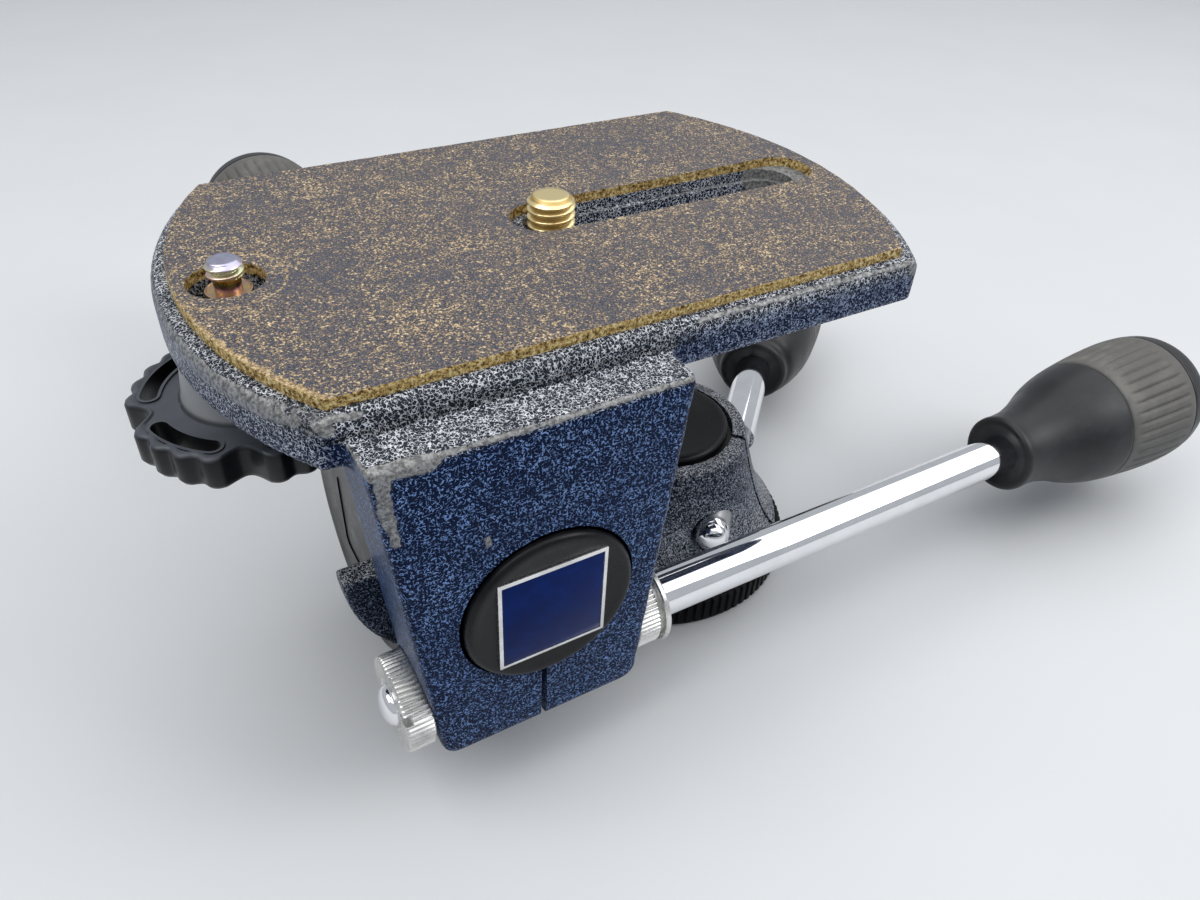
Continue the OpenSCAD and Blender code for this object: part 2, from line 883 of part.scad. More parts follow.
module arm_blank() {
    half_top = arm_top_w / 2;
    half_foot = arm_foot_w / 2;
    corners = [
        [arm_middle_top_x - half_top, arm_top_z, arm_top_corner, 1, -1],
        [arm_middle_top_x + half_top, arm_top_z, arm_top_corner, -1, -1],
        [arm_middle_foot_x + half_foot, arm_foot_h, arm_foot_corner, -1, 1],
        [arm_middle_foot_x - half_foot, arm_foot_h, arm_foot_corner, 1, 1]
    ];
    hull()
        for (c = corners) {
            r = c[2] + arm_edge;
            translate([c[0] + c[3] * r, 0, c[1] + c[4] * r])
                rounded_peg(r);
        }
}

// A peg along Y from the arm's rear face to its front face, rounded at the front
module rounded_peg(r) {
    translate([0, arm_rear_y, 0])
        rotate([90, 0, 0])
            rotate_extrude($fn = 32)
                polygon([
                    [0, 0], [r, 0], [r, arm_t - arm_edge],
                    [r - 0.3 * arm_edge, arm_t - 0.3 * arm_edge],
                    [r - arm_edge, arm_t], [0, arm_t]
                ]);
}

// Pockets in the casting's underside, left between its ribs
module underside_pockets() {
    row_y = (casting_slot_w / 2 + slot_wall + pad_w / 2 - platform_wall) / 2;
    row_w = pad_w / 2 - platform_wall - casting_slot_w / 2 - slot_wall - pocket_gap;
    last = (pocket_rows - 1) / 2;
    for (i = [-last : last], side = [-1, 1])
        translate([platform_x + i * pocket_pitch, side * row_y, platform_z - cut])
            linear_extrude(platform_t - platform_floor_t + cut)
                square([pocket_pitch - pocket_gap, row_w], center = true);
}

module platform() {
    color([0.24, 0.27, 0.36])
        difference() {
            union() {
                difference() {
                    hull() {
                        casting_layer(platform_z, layer_t, edge_draft);
                        casting_layer(platform_h - edge_round, layer_t, 0);
                        casting_layer(platform_h - 0.4 * edge_round, layer_t, 0.3 * edge_round);
                        casting_layer(platform_h - layer_t, layer_t, 0.9 * edge_round);
                    }
                    underside_pockets();
                }
                arm_blank();
            }
            // Slots for the camera screws
            large_slot(platform_z - cut, platform_t + 2 * cut, casting_slot_w, 0, casting_slot_extra);
            small_slot(platform_z - cut, platform_t + 2 * cut, small_slot_w);
            // Bore round the tilt spigot, with the front cap's seat
            at_tilt_axis() {
                along_y(-arm_front - cut, arm_rear_y + cut, spigot_d + 2 * run_gap);
                along_y(-arm_front - cut, arm_seat_y, 2 * arm_seat_r);
            }
            // Clamp slit from the bore down through the foot
            translate([tilt_axis_x - arm_slit_shift - slit_w / 2, -arm_front - cut, 0])
                cube([slit_w, arm_t + 2 * cut, tilt_axis_h]);
            // Tilt clamp bolt, with flat seats for the nut and the collar
            translate([0, tilt_bolt_y, tilt_bolt_h]) {
                along_x(-arm_top_w * 2, 0, bolt_d + 2 * run_gap);
                along_x(nut_seat_x - 10, nut_seat_x, nut_d + 1);
                along_x(collar_seat_x, collar_seat_x + 10, collar_flange_d + 1);
            }
        }
}

module cork_pad() {
    color([0.30, 0.24, 0.20])
        difference() {
            translate([platform_x, 0, platform_h])
                linear_extrude(pad_t)
                    bowed_plan(0, 0);
            large_slot(platform_h - cut, pad_t + 2 * cut, pad_slot_w, pad_slot_lead, pad_slot_extra);
            small_slot(platform_h - cut, pad_t + 2 * cut, pad_hole_w);
        }
}

module front_cap() {
    color([0.05, 0.05, 0.06])
        at_tilt_axis()
            translate([0, -arm_front - front_cap_rise, 0])
                rotate([90, 0, 0])
                    difference() {
                        round_cap(front_cap_d, cap_plate_t, 2 * (arm_seat_r - run_gap), 1.4, 0);
                        translate([-badge_side / 2 - run_gap, -badge_side / 2 - run_gap, -badge_inset])
                            cube([badge_side + 2 * run_gap, badge_side + 2 * run_gap, 2]);
                    }
}

module badge_plate() {
    border = 0.7;
    color([0.10, 0.13, 0.32])
        at_tilt_axis()
            translate([0, -arm_front - front_cap_rise + badge_inset, 0])
                rotate([90, 0, 0])
                    difference() {
                        translate([-badge_side / 2, -badge_side / 2, 0])
                            cube([badge_side, badge_side, badge_t]);
                        translate([border - badge_side / 2, border - badge_side / 2, badge_t - 0.15])
                            cube([badge_side - 2 * border, badge_side - 2 * border, badge_t]);
                    }
}

module tilt_clamp_bolt() {
    back = collar_seat_x - nut_seat_x + nut_t + bolt_tip_rise;
    color([0.7, 0.7, 0.72])
        at_tilt_handle()
            clamp_bolt(back, 1.8);
}

module knurled_nut() {
    color([0.8, 0.8, 0.78])
        translate([nut_seat_x - run_gap, tilt_bolt_y, tilt_bolt_h])
            rotate([0, -90, 0])
                difference() {
                    union() {
                        translate([0, 0, 0.4])
                            linear_extrude(nut_t - 0.8)
                                polygon(toothed(nut_d / 2, knurl_depth, 48));
                        cylinder(d = nut_d - 2 * (knurl_depth + edge_step), h = nut_t);
                    }
                    translate([0, 0, -cut])
                        cylinder(d = bolt_d + 2 * run_gap, h = nut_t + 2 * cut);
                    translate([0, 0, nut_t - 0.6])
                        cylinder(d = bolt_d + 3.4, h = 1);
                    translate([-nut_d, -nut_slot_w / 2, nut_t - nut_slot_depth])
                        cube([2 * nut_d, nut_slot_w, nut_slot_depth + cut]);
                }
}

module knurled_collar() {
    groove_x = collar_len;
    flange_x = collar_len + collar_groove_len;
    color([0.8, 0.8, 0.78])
        at_tilt_handle()
            rotate([0, 90, 0])
                difference() {
                    union() {
                        translate([0, 0, run_gap])
                            linear_extrude(collar_len - run_gap)
                                polygon(toothed(collar_d / 2, knurl_depth, 44));
                        cylinder_from(groove_x, flange_x, collar_d - 2);
                        cylinder_from(flange_x, flange_x + collar_flange_len, collar_flange_d);
                    }
                    cylinder_from(-cut, collar_len, bolt_d + 2 * run_gap);
                    cylinder_from(collar_len, 2 * collar_len, rod_d + 2 * run_gap);
                }
}

module tilt_handle_rod() {
    color([0.85, 0.86, 0.88])
        at_tilt_handle()
            handle_rod(collar_len + run_gap, tilt_rod_len + collar_len);
}

module tilt_handle_grip() {
    color([0.07, 0.07, 0.07])
        at_tilt_handle()
            grip(tilt_rod_len + collar_len, grip_neck_len);
}

module tilt_handle_band() {
    color([0.36, 0.34, 0.30])
        at_tilt_handle()
            grip_band(tilt_rod_len + collar_len, grip_neck_len);
}

// ---- Camera screws ----

module large_camera_screw() {
    color([0.80, 0.62, 0.28])
        translate([large_screw_x, screw_line_y, 0]) {
            cylinder_from(knob_z + knob_floor_t, pad_top_z, large_shank_d);
            cylinder_from(pad_top_z, pad_top_z + large_screw_rise, large_screw_d);
        }
}

module large_screw_washer() {
    color([0.6, 0.6, 0.62])
        translate([large_screw_x, screw_line_y, platform_z - slide_washer_t - face_gap])
            washer(large_shank_d + 2 * run_gap, washer_d, slide_washer_t);
}

module large_screw_knob() {
    hub_z = platform_z - slide_washer_t - 3 * face_gap;
    color([0.05, 0.05, 0.06])
        translate([large_screw_x, screw_line_y, 0])
            difference() {
                union() {
                    translate([0, 0, knob_z])
                        linear_extrude(knob_rim_t)
                            polygon(toothed(large_knob_d / 2, 0.8, 30));
                    cylinder_from(knob_z + knob_rim_t, hub_z, knob_hub_d);
                }
                cylinder_from(knob_z + knob_floor_t - run_gap, hub_z + cut,
                              large_shank_d + 2 * run_gap);
            }
}

module small_camera_screw() {
    neck_top = pad_top_z + small_screw_rise - thread_head_h;
    color([0.75, 0.68, 0.50])
        translate([small_screw_x, screw_line_y, 0]) {
            cylinder_from(neck_top, pad_top_z + small_screw_rise, small_screw_d);
            cylinder_from(star_z + star_floor_t, neck_top, undercut_d);
        }
}

module small_screw_clip() {
    color([0.72, 0.62, 0.42])
        translate([small_screw_x, screw_line_y, platform_h + clip_rise - clip_t])
            washer(undercut_d + 2 * run_gap, clip_d, clip_t);
}

module star_knob() {
    hub_top = platform_z - face_gap;
    rim_top = star_z + star_t;
    slot_r = star_d / 2 - star_slot_inset;
    color([0.08, 0.08, 0.08])
        translate([small_screw_x, screw_line_y, 0])
            difference() {
                union() {
                    translate([0, 0, star_z])
                        linear_extrude(star_t)
                            polygon([for (a = [0 : 2 : 358]) star_r(a) * [cos(a), sin(a)]]);
                    rotate_extrude()
                        polygon([
                            [0, rim_top - 1], [hub_foot_d / 2, rim_top - 1],
                            [hub_foot_d / 2, rim_top], [hub_top_d / 2, hub_top], [0, hub_top]
                        ]);
                }
                cylinder_from(star_z + star_floor_t - run_gap, hub_top + cut,
                              undercut_d + 2 * run_gap);
                for (i = [0 : star_lobes - 1])
                    rotate([0, 0, 360 * i / star_lobes])
                        translate([0, 0, star_z - cut])
                            curved_slot(slot_r, star_slot_w, star_slot_half, star_t + 2 * cut);
            }
}

// A slot that follows an arc of radius r, half the angle each side of +X
module curved_slot(r, w, half, h) {
    rotate([0, 0, -half])
        rotate_extrude(angle = 2 * half)
            translate([r - w / 2, 0])
                square([w, h]);
    for (s = [-1, 1])
        rotate([0, 0, s * half])
            translate([r, 0, 0])
                cylinder(d = w, h = h);
}

base_disc();
tripod_bush();
base_screws();
pan_spindle();
pan_thrust_washer();
pan_housing();
pan_retaining_disc();
pan_retaining_screw();
pan_cap();
pan_clamp_bolt();
dome_nut();
pan_handle_rod();
pan_handle_grip();
pan_handle_band();
side_axle();
side_friction_washer();
side_retaining_disc();
side_retaining_screw();
tilt_body();
side_cap();
side_clamp_bolt();
side_handle_rod();
side_handle_grip();
side_handle_band();
tilt_spigot();
tilt_friction_washer();
spigot_retaining_disc();
spigot_retaining_screw();
platform();
cork_pad();
front_cap();
badge_plate();
tilt_clamp_bolt();
knurled_nut();
knurled_collar();
tilt_handle_rod();
tilt_handle_grip();
tilt_handle_band();
large_camera_screw();
large_screw_washer();
large_screw_knob();
small_camera_screw();
small_screw_clip();
star_knob();
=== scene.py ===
"""The looks of a three way pan and tilt head, dressed round its fixed frame.

Shapes are made in millimetres and turned into metres when a piece is finished.
"""
import json
import math

import bmesh
import bpy
import numpy as np
from mathutils import Matrix, Vector, noise


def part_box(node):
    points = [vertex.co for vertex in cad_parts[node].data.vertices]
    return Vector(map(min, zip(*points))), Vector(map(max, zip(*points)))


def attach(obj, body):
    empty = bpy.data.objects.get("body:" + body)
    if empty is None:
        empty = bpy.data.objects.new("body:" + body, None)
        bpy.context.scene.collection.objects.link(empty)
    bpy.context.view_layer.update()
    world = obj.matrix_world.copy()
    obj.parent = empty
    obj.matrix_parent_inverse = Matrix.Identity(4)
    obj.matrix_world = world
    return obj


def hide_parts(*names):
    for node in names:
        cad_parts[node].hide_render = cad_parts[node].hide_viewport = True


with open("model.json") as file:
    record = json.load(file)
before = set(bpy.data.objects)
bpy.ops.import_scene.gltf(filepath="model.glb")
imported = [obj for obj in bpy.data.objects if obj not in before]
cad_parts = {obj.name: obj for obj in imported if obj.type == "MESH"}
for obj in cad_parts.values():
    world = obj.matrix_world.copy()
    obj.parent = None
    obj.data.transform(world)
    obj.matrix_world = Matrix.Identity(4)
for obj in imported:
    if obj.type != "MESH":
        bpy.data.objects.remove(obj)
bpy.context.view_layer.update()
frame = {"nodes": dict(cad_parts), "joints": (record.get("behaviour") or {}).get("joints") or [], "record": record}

MM = 0.001
JOINTS = {joint["name"]: joint for joint in frame["joints"]}


def node_box(name):
    """Lowest and highest corner of a frame node, in mm."""
    low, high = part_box(name)
    return low / MM, high / MM


def joint_point(name):
    """A point on a joint's axis, in mm."""
    return Vector(JOINTS[name]["pos_m"]) / MM


# ---- Sizes taken from the frame, in mm ----

pad_low, pad_high = node_box("cork_pad")
plate_low, plate_high = node_box("platform")
base_low, base_high = node_box("base_disc")
star_low, star_high = node_box("star_knob")
knob_low, knob_high = node_box("large_screw_knob")
nut_low, nut_high = node_box("knurled_nut")
front_cap_low = node_box("front_cap")[0]
badge_low, badge_high = node_box("badge_plate")
side_cap_low, side_cap_high = node_box("side_cap")
pan_cap_high = node_box("pan_cap")[1]
tilt_axis = joint_point("tilt")
side_axis = joint_point("side_tilt")
tilt_lock = joint_point("tilt_lock")
side_lock = joint_point("side_lock")
pan_lock = joint_point("pan_lock")
large_screw = joint_point("large_spin")
small_screw = joint_point("small_spin")
pan_lock_way = Vector(JOINTS["pan_lock"]["axis"])
pan_lock_across = Vector((pan_lock_way.y, -pan_lock_way.x, 0))
TRAVEL = JOINTS["large_slide"]["range_m"][1] / MM
SMALL_TRAVEL = JOINTS["small_slide"]["range_m"][1] / MM

PAD_X = (pad_low.x + pad_high.x) / 2
PAD_HALF_L = (pad_high.x - pad_low.x) / 2
PAD_HALF_W = pad_high.y
PAD_END_R = 73
CASTING_X = (plate_low.x + plate_high.x) / 2
CASTING_HALF_L = (plate_high.x - plate_low.x) / 2
CASTING_HALF_W = plate_high.y
CASTING_END_R = PAD_END_R + CASTING_HALF_L - PAD_HALF_L
CASTING_T = 9.2
CASTING_TOP = pad_low.z
CASTING_FOOT = CASTING_TOP - CASTING_T
ARM_FRONT = plate_low.y
ARM_REAR = -33
ARM_TOP = CASTING_TOP - 4.5
ARM_FOOT = plate_low.z
ARM_TOP_HALF = 28.4
ARM_FOOT_HALF = 21.1
ARM_TOP_X = tilt_axis.x - 0.9
ARM_FOOT_X = tilt_axis.x - 0.5
SLIT_W = 1.2
ROD_R = 5
BOLT_R = 4


# ---- Finishes: small helpers that build a node material ----

class Finish:
    """A node material; sockets named here are the same all over the surface."""

    def __init__(self, name, sockets):
        self.material = bpy.data.materials.new(name)
        self.material.use_nodes = True
        self.tree = self.material.node_tree
        self.shader = self.tree.nodes["Principled BSDF"]
        coordinates = self.tree.nodes.new("ShaderNodeTexCoord")
        self.place = coordinates.outputs["Object"]
        self.facing = coordinates.outputs["Normal"]
        for socket, value in sockets.items():
            self.shader.inputs[socket].default_value = value

    def add(self, kind, inputs, **settings):
        node = self.tree.nodes.new(kind)
        for name, value in settings.items():
            setattr(node, name, value)
        for socket, value in inputs.items():
            self.plug(node.inputs[socket], value)
        return node

    def plug(self, socket, value):
        if isinstance(value, bpy.types.NodeSocket):
            self.tree.links.new(value, socket)
        else:
            socket.default_value = value

    def noise(self, size, detail=2.0, rough=0.5, vector=None, output="Fac"):
        """Noise whose features are about size mm across."""
        scale = 1 / (size * MM)
        inputs = {"Vector": vector or self.place, "Scale": scale, "Detail": detail, "Roughness": rough}
        return self.add("ShaderNodeTexNoise", inputs).outputs[output]

    def cell_edges(self, size, vector):
        """How far each point is from the edge of a random cell about size mm across."""
        inputs = {"Vector": vector, "Scale": 1 / (size * MM), "Randomness": 1.0}
        cells = self.add("ShaderNodeTexVoronoi", inputs, feature="DISTANCE_TO_EDGE")
        return cells.outputs["Distance"]

    def warped(self, size, reach):
        """The object's coordinates, pushed about by noise."""
        push = self.noise(size, 1.0, output="Color")
        centred = self.add("ShaderNodeVectorMath", {0: push, 1: (0.5, 0.5, 0.5)}, operation="SUBTRACT")
        inputs = {0: centred.outputs[0], "Scale": reach * MM}
        scaled = self.add("ShaderNodeVectorMath", inputs, operation="SCALE")
        moved = self.add("ShaderNodeVectorMath", {0: self.place, 1: scaled.outputs[0]}, operation="ADD")
        return moved.outputs[0]

    def calc(self, operation, first, second=0.0):
        return self.add("ShaderNodeMath", {0: first, 1: second}, operation=operation).outputs[0]

    def span(self, value, low, high, to_low=0.0, to_high=1.0):
        inputs = {"Value": value, "From Min": low, "From Max": high, "To Min": to_low, "To Max": to_high}
        node = self.add("ShaderNodeMapRange", inputs, interpolation_type="SMOOTHSTEP")
        return node.outputs["Result"]

    def blend(self, share, first, second):
        """A colour between two others: the second where share is 1."""
        return self.add("ShaderNodeMix", {0: share, 6: first, 7: second}, data_type="RGBA").outputs[2]

    def ramp(self, value, stops):
        node = self.add("ShaderNodeValToRGB", {"Fac": value})
        band = node.color_ramp
        while len(band.elements) < len(stops):
            band.elements.new(0.5)
        for element, (position, colour) in zip(band.elements, stops):
            element.position = position
            element.color = colour
        return node.outputs["Color"]

    def axis(self, vector, name):
        return self.add("ShaderNodeSeparateXYZ", {0: vector}).outputs[name]

    def bump(self, height, depth, strength=1.0, below=None):
        """Relief of about depth mm; below is a coarser relief it lies on."""
        inputs = {"Height": height, "Distance": depth * MM, "Strength": strength}
        if below:
            inputs["Normal"] = below
        return self.add("ShaderNodeBump", inputs).outputs["Normal"]

    def away(self, x, y):
        """Distance in mm from the upright line at x, y."""
        flat = self.add("ShaderNodeVectorMath", {0: self.place, 1: (1 / MM, 1 / MM, 0)}, operation="MULTIPLY")
        node = self.add("ShaderNodeVectorMath", {0: flat.outputs[0], 1: (x, y, 0)}, operation="DISTANCE")
        return node.outputs["Value"]

    def attribute(self, name):
        return self.add("ShaderNodeAttribute", {}, attribute_name=name).outputs["Fac"]

    def wire(self, **sockets):
        """Joins outputs to the shader: colour, roughness, metal and relief."""
        names = {"colour": "Base Color", "roughness": "Roughness", "metal": "Metallic", "relief": "Normal"}
        for name, value in sockets.items():
            self.tree.links.new(value, self.shader.inputs[names[name]])
        return self.material


def rgb(red, green, blue):
    return (red, green, blue, 1.0)


def hammertone(name, cell, side_ground, side_light, side_dark):
    """Dark enamel with a fine broken net of pale veins, bare metal where it is worn. Painted light: upturned faces
    get a paler ground and whiter veins, and the other faces a navy ground and blue veins as a painted blue
    reflection.
    """
    # The blue specular tint is a painted reflection: it colours the enamel's reflections blue.
    paint = Finish(name, {"Specular IOR Level": 0.09, "Specular Tint": rgb(0.35, 0.50, 1.0)})
    height, depth = paint.axis(paint.place, "Z"), paint.axis(paint.place, "Y")
    # Painted light: the slab's front side is painted as pale as a lit top face.
    slab_front_painted_light = paint.calc("MULTIPLY", paint.span(height, 88.5 * MM, 89.2 * MM),
                         paint.span(depth, -43.9 * MM, -43.3 * MM))
    # Painted light: on the shoulder above the arm's top, faces count as more upturned, so they are painted paler.
    above_arm = paint.span(height, (ARM_TOP - 0.6) * MM, (ARM_TOP + 0.6) * MM)
    painted_lift_above_arm = paint.calc("MULTIPLY", above_arm, 0.34)
    # Painted light: the more a face turns up, the paler its ground and veins are painted.
    painted_top_light = paint.span(paint.calc("ADD", paint.axis(paint.facing, "Z"), painted_lift_above_arm), 0.05, 0.6)
    pale = paint.calc("MAXIMUM", painted_top_light, paint.calc("MULTIPLY", slab_front_painted_light, 0.9))

    def net(size, thin, thick):
        place = paint.warped(1.2 * size, 0.8 * size)
        edge = paint.cell_edges(size, place)
        width = paint.span(paint.noise(size, 2.0, 0.6), 0.36, 0.62, thin, thick)
        return paint.span(paint.calc("SUBTRACT", width, edge), -0.05, 0.035)

    def worms(size, thin, thick):
        place = paint.warped(0.7 * size, 0.5 * size)
        field = paint.noise(size, 1.0, 0.5, place)
        away = paint.calc("ABSOLUTE", paint.calc("SUBTRACT", field, 0.5))
        breaks = paint.noise(0.8 * size, 1.0, 0.5)
        width = paint.span(breaks, 0.38, 0.6, thin, thick)
        return paint.span(paint.calc("SUBTRACT", width, away), -0.015, 0.010)

    side_net = worms(0.70 * cell, -0.006, 0.042)
    top_net = paint.calc("MAXIMUM", net(0.66 * cell, -0.03, 0.09), worms(0.72 * cell, -0.02, 0.024))
    border = paint.calc("ADD", pale, paint.calc("MULTIPLY", paint.noise(1.5 * cell), 0.6))
    vein = paint.axis(paint.blend(paint.span(border, 0.72, 0.82), side_net, top_net), "X")
    cloudy = paint.noise(14, 3.0)
    patchy = paint.span(paint.noise(4.5, 2.0), 0.3, 0.7, 0.75, 1.0)
    # Painted light and painted reflection: upturned faces get a grey ground and near-white veins, the other faces
    # a navy ground and blue veins.
    ground = paint.blend(painted_top_light, rgb(*side_ground), rgb(0.024, 0.028, 0.036))
    side_vein = paint.blend(cloudy, rgb(*side_dark), rgb(*side_light))
    top_vein = paint.blend(cloudy, rgb(0.74, 0.78, 0.86), rgb(0.94, 0.95, 0.96))
    colour = paint.blend(paint.calc("MULTIPLY", vein, patchy), ground, paint.blend(pale, side_vein, top_vein))
    relief = paint.bump(vein, 0.07, 0.6, paint.bump(paint.noise(2.2, 2.0), 0.10))
    gloss = paint.span(vein, 0, 1, 0.34, 0.46)
    ragged = paint.noise(1.6, 5.0, 0.65)
    wear = paint.calc("ADD", paint.attribute("wear"), paint.calc("MULTIPLY", ragged, 0.9))
    bare = paint.span(wear, 0.98, 1.06)
    scraped = paint.noise(0.7, 5.0, 0.7)
    metal = paint.blend(paint.span(scraped, 0.36, 0.66), rgb(0.14, 0.138, 0.132), rgb(0.44, 0.44, 0.43))
    grime = paint.span(wear, 0.84, 0.99)
    colour = paint.blend(grime, colour, paint.blend(0.6, colour, rgb(0.05, 0.05, 0.05)))
    colour = paint.blend(bare, colour, metal)
    rough = paint.calc("ADD", gloss, paint.calc("MULTIPLY", bare, 0.08))
    return paint.wire(colour=colour, roughness=rough, relief=relief,
                      metal=paint.calc("MULTIPLY", bare, 0.3))


def cork_rubber(name):
    """Dark rubber full of small cork grains, golden brown where it is cut or rubbed."""
    cork = Finish(name, {"Specular IOR Level": 0.35})
    grain = cork.noise(0.44, 4.0, 0.72, cork.warped(0.7, 0.4))
    lumps = cork.noise(1.6, 3.0, 0.6)
    cloudy = cork.noise(17, 4.0, 0.6)
    mixed = cork.calc("ADD", grain, cork.calc("MULTIPLY", lumps, 0.26))
    mixed = cork.calc("ADD", mixed, cork.calc("MULTIPLY", cloudy, 0.16))
    ground = cork.blend(cork.span(cork.noise(0.32, 3.0, 0.7), 0.38, 0.62),
                        rgb(0.020, 0.021, 0.033), rgb(0.148, 0.148, 0.182))
    tan = cork.ramp(cork.span(mixed, 0.735, 0.90), [
        (0.0, rgb(0.20, 0.145, 0.09)), (0.3, rgb(0.42, 0.30, 0.165)),
        (0.62, rgb(0.74, 0.55, 0.32)), (1.0, rgb(1.0, 0.86, 0.60))])
    top = cork.blend(cork.span(mixed, 0.72, 0.765), ground, tan)
    edge_fleck = cork.noise(0.7, 5.0, 0.75)
    golden = cork.ramp(edge_fleck, [(0.39, rgb(0.03, 0.014, 0.003)), (0.455, rgb(0.32, 0.19, 0.05)),
                                    (0.53, rgb(0.72, 0.50, 0.17)), (0.61, rgb(1.0, 0.84, 0.46))])
    cut_side = cork.span(cork.axis(cork.facing, "Z"), 0.97, 0.75)
    off_ring = cork.calc("ABSOLUTE", cork.calc("SUBTRACT", cork.away(small_screw.x, small_screw.y), 9.8))
    from_end = cork.calc("SUBTRACT", PAD_END_R, cork.away(PAD_X - PAD_HALF_L + PAD_END_R, 0))
    nearer = cork.span(cork.axis(cork.place, "Y"), 0.006, -0.022, 0.45, 0.68)
    frayed = cork.calc("MULTIPLY", cork.span(from_end, 3.4, 0.3), nearer)
    rubbed = cork.calc("MAXIMUM", cork.span(off_ring, 0.8, 0.1, 0, 0.56), frayed)
    ragged = cork.noise(0.9, 4.0, 0.7)
    rubbed = cork.span(cork.calc("ADD", rubbed, ragged), 0.98, 1.12)
    tawny = cork.ramp(cork.noise(0.5, 4.0, 0.7), [
        (0.36, rgb(0.16, 0.11, 0.06)), (0.5, rgb(0.50, 0.35, 0.17)), (0.62, rgb(0.90, 0.70, 0.42))])
    colour = cork.blend(cut_side, cork.blend(rubbed, top, tawny), golden)
    relief = cork.bump(grain, 0.30, 0.9, cork.bump(cork.noise(1.4, 4.0, 0.6), 0.14))
    return cork.wire(colour=colour, roughness=cork.span(cloudy, 0.35, 0.7, 0.46, 0.64), relief=relief)


def metal(name, light, dark, low_rough, high_rough, grain=0.4, relief=0.004):
    """Plated or turned metal with faint scratches and stains."""
    bright = Finish(name, {"Metallic": 1.0})
    stain = bright.noise(7, 4.0, 0.6)
    fine = bright.noise(grain, 3.0, 0.6)
    colour = bright.blend(bright.span(stain, 0.35, 0.7), rgb(*light), rgb(*dark))
    return bright.wire(colour=colour, roughness=bright.span(fine, 0.3, 0.7, low_rough, high_rough),
                       relief=bright.bump(fine, relief))


def moulding(name, light, dark, low_rough, high_rough, grain=0.25, depth=0.02, sockets=None):
    """Moulded plastic or rubber: a fine pebbled skin, and dust that dulls it in places."""
    skin = Finish(name, sockets or {"Specular IOR Level": 0.4})
    pebbles = skin.noise(grain, 2.0, 0.5)
    dust = skin.noise(9, 5.0, 0.65)
    colour = skin.blend(skin.span(dust, 0.4, 0.75), rgb(*dark), rgb(*light))
    return skin.wire(colour=colour, roughness=skin.span(dust, 0.3, 0.7, low_rough, high_rough),
                     relief=skin.bump(pebbles, depth))


def dust_and_sheen_plastic(name, rim):
    """Black plastic with painted light: faces turned up painted grey, and above rim, in mm, the hub painted a
    paler grey as a painted sheen; dust noise mottles it.
    """
    skin = Finish(name, {"Specular IOR Level": 0.3})
    painted_top_light = skin.span(skin.axis(skin.facing, "Z"), 0.25, 0.9)
    above = skin.span(skin.axis(skin.place, "Z"), (rim + 0.1) * MM, (rim + 0.9) * MM)
    dust = skin.noise(7, 5.0, 0.65)
    # Painted light: upturned faces are painted grey, and the hub above rim a light grey, as a painted sheen; the
    # dust noise only mottles them.
    flat = skin.blend(dust, rgb(0.062, 0.070, 0.082), rgb(0.115, 0.125, 0.142))
    hub = skin.blend(dust, rgb(0.28, 0.285, 0.295), rgb(0.36, 0.365, 0.375))
    colour = skin.blend(painted_top_light, skin.blend(dust, rgb(0.005, 0.005, 0.006), rgb(0.010, 0.010, 0.011)), flat)
    pebbles = skin.noise(0.3, 2.0, 0.5)
    return skin.wire(colour=skin.blend(above, colour, hub), roughness=skin.span(dust, 0.3, 0.7, 0.3, 0.44),
                     relief=skin.bump(pebbles, 0.02))


def threaded(name, crest, root, low_rough, high_rough):
    """A thread whose crests are rubbed bright; the crest attribute is 1 there."""
    screw = Finish(name, {"Metallic": 1.0})
    height = screw.attribute("crest")
    stain = screw.noise(1.1, 4.0, 0.6)
    rubbed = screw.span(screw.calc("ADD", height, screw.calc("MULTIPLY", stain, 0.5)), 0.35, 0.8)
    colour = screw.blend(rubbed, rgb(*root), rgb(*crest))
    rough = screw.span(rubbed, 0, 1, high_rough, low_rough)
    return screw.wire(colour=colour, roughness=rough, relief=screw.bump(stain, 0.01))


def iridescent(name, low, high):
    """Zinc plate whose oxide colours run in bands up the screw, from low to high in mm."""
    plate = Finish(name, {"Metallic": 1.0})
    wobble = plate.noise(1.6, 3.0)
    height = plate.add("ShaderNodeMapRange", {"Value": plate.axis(plate.place, "Z"), "From Min": low * MM,
                                              "From Max": high * MM}).outputs["Result"]
    shifted = plate.calc("ADD", height, plate.calc("MULTIPLY", plate.calc("SUBTRACT", wobble, 0.5), 0.16))
    colour = plate.ramp(shifted, [
        (0.0, rgb(0.66, 0.44, 0.12)), (0.26, rgb(0.70, 0.48, 0.14)), (0.36, rgb(0.42, 0.30, 0.46)),
        (0.44, rgb(0.36, 0.20, 0.22)), (0.50, rgb(0.30, 0.34, 0.12)), (0.56, rgb(0.72, 0.34, 0.08)),
        (0.62, rgb(0.58, 0.56, 0.28)), (0.70, rgb(0.74, 0.50, 0.46)), (0.78, rgb(0.62, 0.64, 0.40)),
        (0.86, rgb(0.80, 0.74, 0.56)), (0.93, rgb(0.56, 0.50, 0.62)), (1.0, rgb(0.50, 0.50, 0.64))])
    return plate.wire(colour=colour, roughness=plate.span(wobble, 0.3, 0.7, 0.2, 0.38),
                      relief=plate.bump(wobble, 0.01))


def enamel(name, light, dark, roughness):
    """Smooth dark enamel with faint handling marks."""
    coat = Finish(name, {"Specular IOR Level": 0.06})
    marks = coat.noise(5, 5.0, 0.7)
    colour = coat.blend(coat.span(marks, 0.35, 0.7), rgb(*dark), rgb(*light))
    return coat.wire(colour=colour, roughness=coat.span(marks, 0.3, 0.7, roughness, roughness + 0.15),
                     relief=coat.bump(marks, 0.01))


